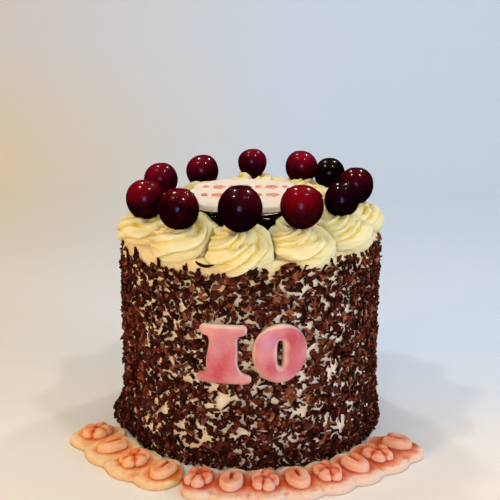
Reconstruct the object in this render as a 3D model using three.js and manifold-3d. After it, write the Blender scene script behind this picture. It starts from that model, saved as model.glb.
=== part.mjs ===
// A black forest cake: a tall round cake coated in cream and chocolate shavings, a ring of eleven
// cream swirls with a cherry on each, a fondant plaque on a dark filling, the number 10 on its side,
// and two scalloped fondant plaques with raised ornaments round its foot.
// Millimetres, +Z up. The origin is the middle of the cake's underside, and the number faces -Y.

import * as THREE from "three";
import { mergeVertices } from "three/addons/utils/BufferGeometryUtils.js";
import Module from "manifold-3d";

const wasm = await Module();
wasm.setup();

// ---------- Driving dimensions ----------

const GAP = 0.35; // air between pieces that touch
const TURN = 2 * Math.PI;
const DEGREE = Math.PI / 180;

const CAKE_RADIUS = 85; // over the chocolate shavings
const CAKE_HEIGHT = 130;
const CAKE_SIDES = 92;
const CAKE_ROWS = 17; // rows of chip-sized bumps up the side
const BUMP_TOP = 117; // the bumps end here, under the swirls
const BUMP_DEPTH = 2.6;
const FOOT_SPREAD = { front: 1.2, sides: 3.6, height: 20 }; // the coat runs out at the bottom
const DRIFT = { reach: 6.5, height: 20, middle: 178 * DEGREE, spread: 25 * DEGREE }; // loose shavings
const TOP_EDGE = 4; // rounding of the cake's upper edge

const SHAVINGS = 58; // the largest chocolate shavings
const SHAVING = { length: 8.5, width: 4.2, thickness: 1.5, tilt: 0.5, proud: 0.3 };
const SHAVING_LOW = 11; // they lie between these heights
const SHAVING_HIGH = 112;

// Each cherry: angle round the ring, ring radius, width and height of its middle, and how low
// the swirl under it hangs over the cake's edge
const CHERRIES = [
  { angle: -156.0, ring: 71.0, width: 24.5, middle: 155.5, lip: 129.0 },
  { angle: -127.3, ring: 69.4, width: 24.4, middle: 155.5, lip: 127.5 },
  { angle: -95.1, ring: 67.1, width: 26.7, middle: 158.5, lip: 123.5 },
  { angle: -63.3, ring: 66.8, width: 25.9, middle: 158.0, lip: 125.5 },
  { angle: -35.3, ring: 67.6, width: 20.8, middle: 157.5, lip: 129.5 },
  { angle: 4.5, ring: 69.2, width: 23.5, middle: 156.5, lip: 128.0 },
  { angle: 38.6, ring: 70.1, width: 21.5, middle: 157.3, lip: 127.0 },
  { angle: 58.8, ring: 69.9, width: 23.4, middle: 158.7, lip: 126.5 },
  { angle: 88.8, ring: 70.0, width: 21.2, middle: 159.4, lip: 128.0 },
  { angle: 119.5, ring: 69.0, width: 23.7, middle: 155.5, lip: 126.0 },
  { angle: 152.1, ring: 68.9, width: 23.8, middle: 155.0, lip: 127.5 },
];
const CHERRY_TALLNESS = 1.03; // height over width

const SWIRL_RING = 65;
const SWIRL_RADIUS = 23.4;
const SWIRL_RIDGES = 7;
const SWIRL_SIDES = SWIRL_RIDGES * 3;
const SWIRL_TURN = 22 * DEGREE; // how far the ridges turn from one ring of the swirl to the next
const SWIRL_CROWD = 0.4; // how far a swirl sits from under its cherry to the middle of its space

const FILLING = { radius: 41.4, topRadius: 37, top: 149.8 };

// The fondant plaque on top is a rounded square with a scalloped rim
const TOP_PLAQUE = { x: -3, y: -4, halfX: 37, halfY: 43, squareness: 2.6, turn: -5 * DEGREE };
const TOP_PLAQUE_THICKNESS = 4.8;
const TOP_PLAQUE_SCALLOP = { count: 12, depth: 0.9 };

const NUMERAL_BACK = 85.3; // radii of the numerals' two faces round the cake's axis
const NUMERAL_FACE = 89.2;
const PILLOW = 1.7; // how far a numeral's edge falls away
const ONE = { middle: -16.2, bottom: 57.3, top: 93.8, stem: 7.7, footSerif: 15.8, headSerif: 13.4 };
const ZERO = { middle: 17.6, height: 76.1, halfWidth: 16.2, halfHeight: 18.4 };
const ZERO_SLOT = { halfWidth: 3.0, halfHeight: 9.0 };
const NUMERAL_BAND = { left: -38, right: 40, low: 50, high: 101 }; // smooth patch of coat behind them

const PLAQUE_THICKNESS = 4.6;
const PLAQUE_EDGE = 1.5; // rounding of the plaques' upper edge
const PLAQUES = [
  { name: "plaque_left", from: -162, to: -112.6, inner: 92.2, outer: 120.5, splay: [5, 0], scallops: 4 },
  { name: "plaque_right", from: -111.6, to: -27.5, inner: 92, outer: 121, splay: [0, 6], scallops: 8 },
];
const PLAQUE_SCALLOP = 3.2;
const ORNAMENT = { across: 8.2, along: 10.2, height: 4.6 }; // half widths and height
const ORNAMENT_KINDS = ["blossom", "heart"];

// ---------- Materials ----------

const finish = (color, roughness) =>
  new THREE.MeshStandardMaterial({ color, roughness, metalness: 0 });
const shavedChocolate = () => finish(0x3a1d15, 0.55);
const whippedCream = () => finish(0xf6e6b4, 0.5);
const darkCherry = () => finish(0x4a0912, 0.12);
const darkFilling = () => finish(0x120c10, 0.15);
const whiteFondant = () => finish(0xfbeede, 0.45);
const pearlPinkFondant = () => finish(0xe08b86, 0.4);
const peachFondant = () => finish(0xf4cdb4, 0.5);
const coralFondant = () => finish(0xf0a37c, 0.5);

// ---------- Geometry helpers ----------

// Repeatable random numbers from 0 to 1
function randomSource(seed) {
  let state = seed;
  return () => {
    state = (state + 0x6d2b79f5) | 0;
    let mixed = Math.imul(state ^ (state >>> 15), 1 | state);
    mixed = (mixed + Math.imul(mixed ^ (mixed >>> 7), 61 | mixed)) ^ mixed;
    return ((mixed ^ (mixed >>> 14)) >>> 0) / 4294967296;
  };
}

const smooth = (low, high, x) => THREE.MathUtils.smoothstep(x, low, high);

// Difference of two angles, from -PI to PI
const angleFrom = (a, b) => Math.atan2(Math.sin(a - b), Math.cos(a - b));

const fromPolar = (angle, radius, z) => [radius * Math.cos(angle), radius * Math.sin(angle), z];

function geometryFrom(points, triangles) {
  const geometry = new THREE.BufferGeometry();
  geometry.setAttribute("position", new THREE.Float32BufferAttribute(points.flat(), 3));
  geometry.setIndex(triangles.flat());
  return geometry;
}

// A closed body of stacked rings. point(i, k) is corner i of ring k, foot and crown are the points
// that close the lowest and highest ring, and slant(k) picks the diagonal of the band above ring k.
function ringBody({ sides, rings, point, foot, crown, slant = () => true }) {
  const points = [];
  const triangles = [];
  for (let k = 0; k < rings; k++) for (let i = 0; i < sides; i++) points.push(point(i, k));
  const footIndex = points.push(foot) - 1;
  const crownIndex = points.push(crown) - 1;
  const at = (i, k) => k * sides + (i % sides);
  for (let i = 0; i < sides; i++) {
    triangles.push([footIndex, at(i + 1, 0), at(i, 0)]);
    triangles.push([crownIndex, at(i, rings - 1), at(i + 1, rings - 1)]);
    for (let k = 0; k < rings - 1; k++) {
      const corners = [at(i, k), at(i + 1, k), at(i + 1, k + 1), at(i, k + 1)];
      triangles.push(...splitQuad(corners, slant(k)));
    }
  }
  return geometryFrom(points, triangles);
}

// The two triangles of a quad, cut between its corners 1 and 3 or between 0 and 2
function splitQuad([a, b, c, d], acrossBD) {
  return acrossBD ? [[a, b, d], [b, c, d]] : [[a, b, c], [a, c, d]];
}

// A closed slab between two grids of points, front(u, v) and back(u, v), each u and v from 0 to 1.
// A looped slab joins its last u to its first.
function slab({ us, vs, loop = false, front, back }) {
  const points = [front, back].flatMap((side) => us.flatMap((u) => vs.map((v) => side(u, v))));
  const last = vs.length - 1;
  const columns = us.length;
  const F = (i, j) => (i % columns) * vs.length + j;
  const B = (i, j) => columns * vs.length + F(i, j);
  const triangles = [];
  const quad = (a, b, c, d) => triangles.push([a, b, c], [a, c, d]);
  for (let i = 0; i < (loop ? columns : columns - 1); i++) {
    for (let j = 0; j < last; j++) {
      quad(F(i, j), F(i, j + 1), F(i + 1, j + 1), F(i + 1, j));
      quad(B(i, j), B(i + 1, j), B(i + 1, j + 1), B(i, j + 1));
    }
    quad(F(i, 0), F(i + 1, 0), B(i + 1, 0), B(i, 0));
    quad(F(i, last), B(i, last), B(i + 1, last), F(i + 1, last));
  }
  for (let j = 0; !loop && j < last; j++) {
    quad(F(0, j), B(0, j), B(0, j + 1), F(0, j + 1));
    const end = columns - 1;
    quad(F(end, j), F(end, j + 1), B(end, j + 1), B(end, j));
  }
  return geometryFrom(points, triangles);
}

function solidFrom(geometry) {
  const bare = geometry.clone();
  bare.deleteAttribute("normal");
  bare.deleteAttribute("uv");
  const merged = mergeVertices(bare, 1e-4);
  const vertProperties = merged.attributes.position.array;
  const triVerts = new Uint32Array(merged.index.array);
  return new wasm.Manifold(new wasm.Mesh({ numProp: 3, vertProperties, triVerts }));
}

function geometryFromSolid(solid) {
  const { vertProperties, triVerts } = solid.getMesh();
  const geometry = new THREE.BufferGeometry();
  geometry.setAttribute("position", new THREE.BufferAttribute(vertProperties, 3));
  geometry.setIndex(new THREE.BufferAttribute(triVerts, 1));
  return geometry;
}

function piece(name, geometry, material) {
  geometry.computeVertexNormals();
  const mesh = new THREE.Mesh(geometry, material);
  mesh.name = name;
  return mesh;
}

const numbered = (stem, index) => `${stem}_${String(index + 1).padStart(2, "0")}`;

// ---------- The cake ----------

// Radius of the smooth coat, with the spread at its foot and the drift of loose shavings
function coatRadius(angle, z) {
  const aside = angleFrom(angle, DRIFT.middle) / DRIFT.spread;
  const heap = Math.max(0, 1 - aside * aside) * Math.max(0, 1 - z / DRIFT.height) ** 1.5;
  const spread = THREE.MathUtils.lerp(FOOT_SPREAD.front, FOOT_SPREAD.sides, Math.cos(angle) ** 2);
  return CAKE_RADIUS + spread * Math.exp(-z / FOOT_SPREAD.height) + DRIFT.reach * heap;
}

// Whether a place on the coat lies behind the numerals, measured as arc length from the front
function behindNumerals(angle, z, margin) {
  const arc = angleFrom(angle, -Math.PI / 2) * CAKE_RADIUS;
  return (
    arc > NUMERAL_BAND.left - margin && arc < NUMERAL_BAND.right + margin &&
    z > NUMERAL_BAND.low - margin && z < NUMERAL_BAND.high + margin
  );
}

// The coat's side is a grid of chip-sized bumps, every other row shifted by half a bump. Above it
// the edge rounds over onto the flat top.
function coatGeometry() {
  const random = randomSource(11);
  const edgeRings = [
    { radius: CAKE_RADIUS, z: CAKE_HEIGHT - TOP_EDGE },
    { radius: CAKE_RADIUS - TOP_EDGE * 0.3, z: CAKE_HEIGHT - TOP_EDGE * 0.3 },
    { radius: CAKE_RADIUS - TOP_EDGE, z: CAKE_HEIGHT },
  ];
  const point = (i, k) => {
    const shift = k < CAKE_ROWS && k % 2 ? 0.5 : 0;
    const angle = ((i + shift) / CAKE_SIDES) * TURN;
    if (k >= CAKE_ROWS) {
      const { radius, z } = edgeRings[k - CAKE_ROWS];
      return fromPolar(angle, radius, z);
    }
    const z = (k / (CAKE_ROWS - 1)) * BUMP_TOP;
    const bump = (random() - 0.5) * BUMP_DEPTH * smooth(0, 12, z);
    const lift = behindNumerals(angle, z, 0) ? -GAP : bump;
    return fromPolar(angle, coatRadius(angle, z) + lift, z);
  };
  return ringBody({
    sides: CAKE_SIDES,
    rings: CAKE_ROWS + edgeRings.length,
    point,
    foot: [7, 5, 0],
    crown: [0, 0, CAKE_HEIGHT],
    slant: (k) => k % 2 === 0,
  });
}

// One large shaving: a thin slip that lies on the coat, turned at random and slightly tilted
function shavingGeometry(angle, z, random) {
  const size = 0.75 + 0.5 * random();
  const { length, width, thickness, tilt, proud } = SHAVING;
  const slip = new THREE.BoxGeometry(length * size, width * size, thickness);
  const spin = new THREE.Matrix4().makeRotationZ(random() * Math.PI);
  const lean = new THREE.Matrix4().makeRotationX((random() - 0.5) * tilt);
  const outwards = new THREE.Vector3(Math.cos(angle), Math.sin(angle), 0);
  const sideways = new THREE.Vector3(-outwards.y, outwards.x, 0);
  const place = new THREE.Matrix4().makeBasis(sideways, new THREE.Vector3(0, 0, 1), outwards);
  place.setPosition(...fromPolar(angle, coatRadius(angle, z) + proud, z));
  return slip.applyMatrix4(place.multiply(spin).multiply(lean));
}

// The shavings climb the side on a spiral of golden angles, which spreads them evenly
function cakeGeometry() {
  const random = randomSource(23);
  const golden = Math.PI * (3 - Math.sqrt(5));
  let cake = solidFrom(coatGeometry());
  for (let i = 0; i < SHAVINGS; i++) {
    const angle = i * golden;
    const z = SHAVING_LOW + ((i + 0.5) / SHAVINGS) * (SHAVING_HIGH - SHAVING_LOW);
    const slip = shavingGeometry(angle, z, random);
    if (!behindNumerals(angle, z, SHAVING.length * 0.2)) cake = cake.add(solidFrom(slip));
  }
  return geometryFromSolid(cake);
}

// ---------- Cream swirls ----------

const cherryAngle = (index) => CHERRIES.at(index % CHERRIES.length).angle * DEGREE;

// The angles that bound a swirl's space, halfway to its neighbours' cherries
function swirlSpace(index) {
  const middle = cherryAngle(index);
  const before = middle + angleFrom(cherryAngle(index - 1), middle) / 2;
  const after = middle + angleFrom(cherryAngle(index + 1), middle) / 2;
  return { middle, before, after };
}

// A swirl is a dome of rings whose ridged section turns as it rises, with a dish on top that holds
// the cherry. Each corner is held inside the swirl's space and outside the filling.
function swirlGeometry(index) {
  const { middle, before, after } = swirlSpace(index);
  const random = randomSource(41 + index);
  const cherry = CHERRIES[index];
  const dish = cherry.middle - (cherry.width / 2) * CHERRY_TALLNESS - GAP;
  const cherryRadius = cherry.width / 2 + GAP;
  const bowl = (away) => cherry.middle - Math.sqrt(cherryRadius ** 2 - away ** 2) * CHERRY_TALLNESS;
  const bearing = middle + SWIRL_CROWD * ((before + after) / 2 - middle);
  const centre = fromPolar(bearing, SWIRL_RING, 0);
  const hub = fromPolar(cherryAngle(index), cherry.ring, dish - 0.1);
  const breadth = SWIRL_RADIUS * (1 + 0.05 * smooth(0.6, 0.85, after - before));
  const lip = cherry.lip;
  const waist = dish - lip;
  const profile = [
    { out: breadth * 0.93, z: lip - 1, ridge: 0 },
    { out: breadth, z: lip + waist * 0.14, ridge: 0.035 },
    { out: breadth * 1.02, z: lip + waist * 0.36, ridge: 0.05 },
    { out: breadth * 0.97, z: lip + waist * 0.6, ridge: 0.06 },
    { out: breadth * 0.8, z: lip + waist * 0.88, ridge: 0.08 },
    { out: breadth * 0.58, z: lip + waist * 1.2, ridge: 0.1 },
    { out: 8.8, z: bowl(8.6) - 0.25, ridge: 0.03, onHub: true },
    { out: 5, z: bowl(5) - 0.25, ridge: 0, onHub: true },
  ];
  const start = random() * TURN;
  const point = (i, k) => {
    const { out, z, ridge, onHub } = profile[k];
    const around = (i / SWIRL_SIDES) * TURN;
    const reach = out * (1 + ridge * Math.cos(SWIRL_RIDGES * around) - ridge);
    const heading = start + around + k * SWIRL_TURN;
    const origin = onHub ? hub : centre;
    const x = origin[0] + reach * Math.cos(heading);
    const y = origin[1] + reach * Math.sin(heading);
    const radius = Math.max(Math.hypot(x, y), FILLING.radius + 3 * GAP);
    const room = GAP / 2 / radius;
    const away = angleFrom(Math.atan2(y, x), middle);
    const held = THREE.MathUtils.clamp(away, before - middle + room, after - middle - room);
    return fromPolar(middle + held, radius, z);
  };
  const body = ringBody({
    sides: SWIRL_SIDES,
    rings: profile.length,
    point,
    foot: [centre[0], centre[1], lip - 1],
    crown: hub,
  });
  return geometryFromSolid(solidFrom(body).subtract(cakeTopCutter));
}

// The cake's top, grown by a gap, which shapes the underside of the swirls
function cakeTopCutterGeometry() {
  const height = CAKE_HEIGHT + GAP;
  const radius = CAKE_RADIUS + GAP;
  const profile = [
    [0, CAKE_HEIGHT - 40],
    [radius, CAKE_HEIGHT - 40],
    [radius, height - TOP_EDGE],
    [radius - TOP_EDGE * 0.3, height - TOP_EDGE * 0.3],
    [radius - TOP_EDGE, height],
    [0, height],
  ].map(([x, y]) => new THREE.Vector2(x, y));
  return new THREE.LatheGeometry(profile, CAKE_SIDES).rotateX(Math.PI / 2);
}
const cakeTopCutter = solidFrom(cakeTopCutterGeometry());

// ---------- Cherries ----------

// A cherry is a slightly tall ball with a dimple where its stem was
function cherryGeometry({ width, middle, angle, ring }) {
  const sides = 11;
  const rings = 5;
  const radius = width / 2;
  const [x, y] = fromPolar(angle * DEGREE, ring, 0);
  const point = (i, k) => {
    const latitude = (-0.5 + (k + 1) / (rings + 1)) * Math.PI;
    const around = ((i + (k % 2) / 2) / sides) * TURN;
    const out = radius * Math.cos(latitude);
    const z = middle + radius * CHERRY_TALLNESS * Math.sin(latitude);
    return [x + out * Math.cos(around), y + out * Math.sin(around), z];
  };
  return ringBody({
    sides,
    rings,
    point,
    foot: [x, y, middle - radius * CHERRY_TALLNESS],
    crown: [x, y, middle + radius * (CHERRY_TALLNESS - 0.16)],
    slant: (k) => k % 2 === 0,
  });
}

// ---------- Filling and plaque on top ----------

function fillingGeometry() {
  const { radius, topRadius, top } = FILLING;
  const bottom = CAKE_HEIGHT + GAP;
  const profile = [
    { radius: radius - 0.5, z: bottom },
    { radius, z: bottom + 10 },
    { radius: (radius * 2 + topRadius) / 3, z: top - 3.5 },
    { radius: topRadius, z: top },
  ];
  const sides = 24;
  return ringBody({
    sides,
    rings: profile.length,
    point: (i, k) => fromPolar((i / sides) * TURN, profile[k].radius, profile[k].z),
    foot: [0, 0, bottom],
    crown: [0, 0, top],
  });
}

// The plaque's rim is a superellipse with scallops, rounded over at its upper edge
function topPlaqueGeometry() {
  const { x, y, halfX, halfY, squareness, turn } = TOP_PLAQUE;
  const sides = TOP_PLAQUE_SCALLOP.count * 3;
  const bottom = FILLING.top + GAP;
  const top = bottom + TOP_PLAQUE_THICKNESS;
  const profile = [
    { inset: 1, z: bottom },
    { inset: 0, z: bottom + TOP_PLAQUE_THICKNESS * 0.55 },
    { inset: 1.8, z: top },
  ];
  const point = (i, k) => {
    const around = (i / sides) * TURN;
    const along = Math.abs(Math.cos(around) / halfX) ** squareness;
    const across = Math.abs(Math.sin(around) / halfY) ** squareness;
    const ripple = TOP_PLAQUE_SCALLOP.depth * (1 - Math.cos(TOP_PLAQUE_SCALLOP.count * around));
    const edge = (along + across) ** (-1 / squareness) - ripple - profile[k].inset;
    return [x + edge * Math.cos(around + turn), y + edge * Math.sin(around + turn), profile[k].z];
  };
  return ringBody({
    sides,
    rings: profile.length,
    point,
    foot: [x, y, bottom],
    crown: [x, y, top],
  });
}

// ---------- Numerals on the cake's side ----------

// A point on the cake's side, from its arc length right of the front, its radius and its height
const onSide = (arc, radius, z) => fromPolar(-Math.PI / 2 + arc / CAKE_RADIUS, radius, z);

// Half the width of the numeral 1 at a height: a stem that flares into a serif at each end
function oneHalfWidth(z) {
  const { bottom, top, stem, footSerif, headSerif } = ONE;
  const foot = 1 - smooth(bottom + 6, bottom + 11.5, z);
  const head = smooth(top - 11.5, top - 7, z);
  const corner = z < bottom + 0.5 || z > top - 0.5 ? 1.3 : 0;
  return stem + (footSerif - stem) * foot + (headSerif - stem) * head - corner;
}

function oneGeometry() {
  const { middle, bottom, top } = ONE;
  const heights = [0, 1.4, 5.8, 8, 10.5, 18, 25.2, 27.2, 29.2, 35, 36.5];
  const across = [-1, -0.86, -0.4, 0, 0.4, 0.86, 1];
  const place = (row, column, radius) => {
    const z = bottom + row;
    return onSide(middle + column * oneHalfWidth(z), radius, z);
  };
  const atEnd = (row) => row < 1 || row > top - bottom - 1;
  return slab({
    us: heights,
    vs: across,
    front: (row, column) => {
      const rim = Math.abs(column) === 1 || atEnd(row);
      return place(row, column, NUMERAL_FACE - (rim ? PILLOW : 0));
    },
    back: (row, column) => place(row, column, NUMERAL_BACK),
  });
}

function zeroGeometry() {
  const sides = 22;
  const us = Array.from({ length: sides }, (_, i) => i / sides);
  const vs = [0, 0.2, 0.86, 1];
  const place = (u, v, radius) => {
    const around = u * TURN;
    const halfWidth = THREE.MathUtils.lerp(ZERO_SLOT.halfWidth, ZERO.halfWidth, v);
    const halfHeight = THREE.MathUtils.lerp(ZERO_SLOT.halfHeight, ZERO.halfHeight, v);
    const arc = ZERO.middle + halfWidth * Math.cos(around);
    return onSide(arc, radius, ZERO.height + halfHeight * Math.sin(around));
  };
  return slab({
    us,
    vs,
    loop: true,
    front: (u, v) => place(u, v, NUMERAL_FACE - (v === 0 || v === 1 ? PILLOW : 0)),
    back: (u, v) => place(u, v, NUMERAL_BACK),
  });
}

// ---------- Plaques and their ornaments ----------

// A plaque is a band along the cake's foot: its two long edges are scalloped, its ends round off
// and may splay outwards there.
function plaqueBand({ inner, outer, splay }, u) {
  const flare = splay[0] * (1 - smooth(0, 0.3, u)) + splay[1] * smooth(0.7, 1, u);
  return { middle: (inner + outer + flare) / 2, half: (outer + flare - inner) / 2 };
}

function plaqueGeometry(plaque) {
  const { from, to, scallops } = plaque;
  const steps = scallops * 3;
  const us = Array.from({ length: steps + 1 }, (_, i) => i / steps);
  const vs = [0, 0.1, 0.9, 1];
  const place = (u, v, z) => {
    const angle = THREE.MathUtils.lerp(from, to, u) * DEGREE;
    const rounding = Math.sqrt(Math.max(0.1, 1 - Math.abs(2 * u - 1) ** (scallops * 1.7)));
    const ripple = PLAQUE_SCALLOP * Math.abs(Math.sin(scallops * Math.PI * u));
    const { middle, half } = plaqueBand(plaque, u);
    const reach = half * rounding + ripple;
    const radius = THREE.MathUtils.lerp(middle - reach, middle + reach, v);
    return fromPolar(angle, radius, z);
  };
  return slab({
    us,
    vs,
    front: (u, v) => {
      const rim = v === 0 || v === 1 || u === 0 || u === 1;
      return place(u, v, PLAQUE_THICKNESS - (rim ? PLAQUE_EDGE : 0));
    },
    back: (u, v) => place(u, v, 0),
  });
}

// Outlines of the ornaments: distance from the middle, as a share of the size, by angle
const OUTLINES = {
  blossom: (a) => 0.9 + 0.1 * Math.cos(5 * a),
  heart: (a) => 0.82 + 0.14 * Math.sin(a) ** 2 - 0.22 * Math.max(0, Math.sin(a)) ** 8,
};

function ornamentGeometry(kind, bearing, ring) {
  const sides = 15;
  const { across, along, height } = ORNAMENT;
  const bottom = PLAQUE_THICKNESS + GAP;
  const outwards = bearing * DEGREE;
  const [x, y] = fromPolar(outwards, ring, 0);
  const place = (forward, sideways, z) => [
    x + forward * Math.cos(outwards) - sideways * Math.sin(outwards),
    y + forward * Math.sin(outwards) + sideways * Math.cos(outwards),
    z,
  ];
  const point = (i, k) => {
    const around = (i / sides) * TURN;
    const reach = OUTLINES[kind](around) * (k === 0 ? 1 : 0.9);
    const forward = -along * reach * Math.sin(around);
    const sideways = across * reach * Math.cos(around);
    return place(forward, sideways, bottom + (k === 0 ? 0 : height * 0.75));
  };
  return ringBody({
    sides,
    rings: 2,
    point,
    foot: place(0, 0, bottom),
    crown: place(0, 0, bottom + height),
  });
}

// ---------- The whole cake ----------

const blackForestCake = new THREE.Group();
blackForestCake.add(piece("cake", cakeGeometry(), shavedChocolate()));

const creamRing = new THREE.Group();
CHERRIES.forEach((cherry, i) => {
  creamRing.add(piece(numbered("swirl", i), swirlGeometry(i), whippedCream()));
  creamRing.add(piece(numbered("cherry", i), cherryGeometry(cherry), darkCherry()));
});
blackForestCake.add(creamRing);

blackForestCake.add(piece("dark_filling", fillingGeometry(), darkFilling()));
blackForestCake.add(piece("top_plaque", topPlaqueGeometry(), whiteFondant()));
blackForestCake.add(piece("numeral_1", oneGeometry(), pearlPinkFondant()));
blackForestCake.add(piece("numeral_0", zeroGeometry(), pearlPinkFondant()));

let ornaments = 0;
for (const plaque of PLAQUES) {
  blackForestCake.add(piece(plaque.name, plaqueGeometry(plaque), peachFondant()));
  for (let i = 0; i < plaque.scallops; i++) {
    const u = (i + 0.5) / plaque.scallops;
    const bearing = THREE.MathUtils.lerp(plaque.from, plaque.to, u);
    const kind = ORNAMENT_KINDS[ornaments % ORNAMENT_KINDS.length];
    const shape = ornamentGeometry(kind, bearing, plaqueBand(plaque, u).middle);
    blackForestCake.add(piece(numbered("ornament", ornaments), shape, coralFondant()));
    ornaments += 1;
  }
}

export default blackForestCake;
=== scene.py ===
"""A black forest cake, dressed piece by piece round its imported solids.

Lengths are millimetres, angles are radians unless a name says degrees, and every surface is worked
out as whole numpy arrays. Only mesh_piece turns millimetres into Blender's metres.
"""

import math

import bpy
import numpy as np
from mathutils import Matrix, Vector


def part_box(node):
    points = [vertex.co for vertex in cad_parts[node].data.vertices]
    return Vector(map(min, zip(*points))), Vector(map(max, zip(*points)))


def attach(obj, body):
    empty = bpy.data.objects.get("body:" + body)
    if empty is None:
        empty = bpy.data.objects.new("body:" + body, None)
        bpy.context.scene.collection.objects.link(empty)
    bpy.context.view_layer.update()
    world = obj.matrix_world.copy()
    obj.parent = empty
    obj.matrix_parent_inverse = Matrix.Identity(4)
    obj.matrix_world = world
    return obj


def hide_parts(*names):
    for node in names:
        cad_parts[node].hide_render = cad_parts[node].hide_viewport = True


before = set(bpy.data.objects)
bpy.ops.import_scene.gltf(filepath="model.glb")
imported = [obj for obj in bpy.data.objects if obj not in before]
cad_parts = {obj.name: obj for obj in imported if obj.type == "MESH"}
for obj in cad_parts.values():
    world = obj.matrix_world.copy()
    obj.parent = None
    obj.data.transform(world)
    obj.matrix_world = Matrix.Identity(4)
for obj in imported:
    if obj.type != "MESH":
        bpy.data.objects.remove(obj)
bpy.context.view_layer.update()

# ---------- Driving sizes ----------

MM = 0.001
TURN = 2 * math.pi
FRONT = -math.pi / 2  # the bearing of the side with the number

CAKE_RADIUS = 85.0
CAKE_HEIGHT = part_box("cake")[1][2] / MM
CREAM_DEPTH = 2.4  # the cream lies this far inside the outer reach of the shavings
TOP_EDGE = 4.0  # rounding of the coat's top edge
# How much wider the coat is at its foot, and the heap of loose shavings at its left
FOOT_SPREAD = {"front": 1.2, "sides": 3.6, "height": 20.0}
DRIFT = {"reach": 6.5, "height": 20.0, "middle": math.radians(178), "spread": math.radians(25)}

CHERRY_COUNT = 11
CHERRY_TALLNESS = 1.03  # height over width
SWIRL_RING = 65.0  # radius of the ring on which the swirls stand
SWIRL_REACH = 23.4  # a swirl's own radius
SWIRL_CROWD = 0.4  # how far it moves from its cherry's bearing towards the middle of its space
SWIRL_FREE = 0.86  # the share of its space in which it keeps its shape before its neighbours press it
SWIRL_DIP = {"front": 3.2, "back": -1.9}  # how far its top sinks beside its cherry, or rises below 0
SWIRL_ROOM = {"neighbour": 0.1, "cherry": 0.3, "filling": 1.0}
FILLING_RADIUS = 41.4
FILLING_SHOULDER = {"inwards": 4.4, "up": 3.6}

# The radii of a numeral's back and face, and how far the face stands off the back at its rim
NUMERAL_BACK = 84.6
NUMERAL_FACE = 89.2
NUMERAL_RIM = 0.9
ONE = {
    "middle": -16.2, "bottom": 57.3, "top": 93.8, "stem": 7.7, "foot": 15.8, "head": 13.4, "tip": 2.7,
    "foot_rise": 13.4, "foot_fillet": 7.6, "head_drop": 10.4, "head_fillet": 4.4,
    "corner": 3.0, "lean": 2.0, "fuller_right": 1.2,
}
ZERO = {"middle": 17.6, "height": 76.1, "half_width": 16.2, "half_height": 18.4, "end_width": 10.2}
SLOT = {"half_width": 3.0, "half_height": 9.0}

PLAQUE_THICKNESS = 4.6
PLAQUE_RIM = 1.6  # height of a plaque's rim, where its rounding starts
PLAQUE_SCALLOP = 3.2
PLAQUES = [
    {"name": "plaque_left", "degrees": (-162, -112.6), "radii": (92.2, 120.5),
     "splay": (5, 0), "scallops": 4, "dusted_to": 14, "dusting": 0.88, "flushed_end": 0},
    {"name": "plaque_right", "degrees": (-111.6, -27.5), "radii": (92, 121),
     "splay": (0, 6), "scallops": 8, "dusted_to": 15, "dusting": 0.95, "flushed_end": 0.4},
]
ORNAMENT = {"across": 8.2, "along": 10.2, "height": 4.6, "wall": 0.9, "sunk": 0.6}

# ---------- Colours ----------


def tone(code):
    """Turns an sRGB hex colour such as "F6E6B4" to linear red, green and blue, with an alpha of 1."""
    channels = [int(code[i:i + 2], 16) / 255 for i in (0, 2, 4)]
    return [c / 12.92 if c <= 0.04045 else ((c + 0.055) / 1.055) ** 2.4 for c in channels] + [1.0]


# ---------- Array helpers ----------


def smooth(low, high, x):
    """0 below low, 1 above high, and 3t^2 - 2t^3 between them."""
    t = np.clip((np.asarray(x, float) - low) / (high - low), 0, 1)
    return t * t * (3 - 2 * t)


def mix(a, b, t):
    """From a at t = 0 to b at t = 1 along a straight line."""
    return a + (b - a) * t


def angle_from(a, b):
    """The difference of two angles, from -pi to pi."""
    return np.arctan2(np.sin(a - b), np.cos(a - b))


def polar(angle, radius, z):
    """Points at an angle round the cake's axis, a radius and a height."""
    angle, radius, z = np.broadcast_arrays(angle, radius, z)
    return np.stack([radius * np.cos(angle), radius * np.sin(angle), z], axis=-1)


def relief(points, wavelength, seed):
    """Smooth uneven relief of about -1 to 1: the sum of sine waves in random directions, each of
    about one wavelength, divided by the root of half their number."""
    waves = 16
    random = np.random.default_rng(seed)
    ways = random.normal(size=(waves, 3))
    ways /= np.linalg.norm(ways, axis=1)[:, None]
    ways *= TURN / (wavelength * random.uniform(0.7, 1.5, waves))[:, None]
    phases = random.uniform(0, TURN, waves)
    return np.sin(points @ ways.T + phases).sum(axis=-1) / math.sqrt(waves / 2) / 1.6


def ring_quads(rings, sides):
    """Quads that join each closed ring of points to the next one."""
    ring, side = np.mgrid[0:rings - 1, 0:sides]
    here = ring * sides + side
    beside = ring * sides + (side + 1) % sides
    return np.stack([here, beside, beside + sides, here + sides], axis=-1).reshape(-1, 4)


def capped(rings):
    """Closes stacked rings, an array of rings by sides by 3, with a fan at each end."""
    count, sides = rings.shape[:2]
    ends = np.stack([rings[0].mean(axis=0), rings[-1].mean(axis=0)])
    points = np.concatenate([rings.reshape(-1, 3), ends])
    side = np.arange(sides)
    beside = (side + 1) % sides
    last = (count - 1) * sides
    foot = np.stack([np.full(sides, count * sides), beside, side], axis=-1)
    crown = np.stack([np.full(sides, count * sides + 1), side + last, beside + last], axis=-1)
    return points, ring_quads(count, sides).tolist() + foot.tolist() + crown.tolist()


def joined(pieces):
    """One mesh's points and faces from several, each a pair of points and faces."""
    points = np.concatenate([part for part, _ in pieces])
    starts = np.cumsum([0] + [len(part) for part, _ in pieces])
    faces = []
    for start, (_, part) in zip(starts, pieces):
        faces += [[corner + start for corner in face] for face in part]
    return points, faces


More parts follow.
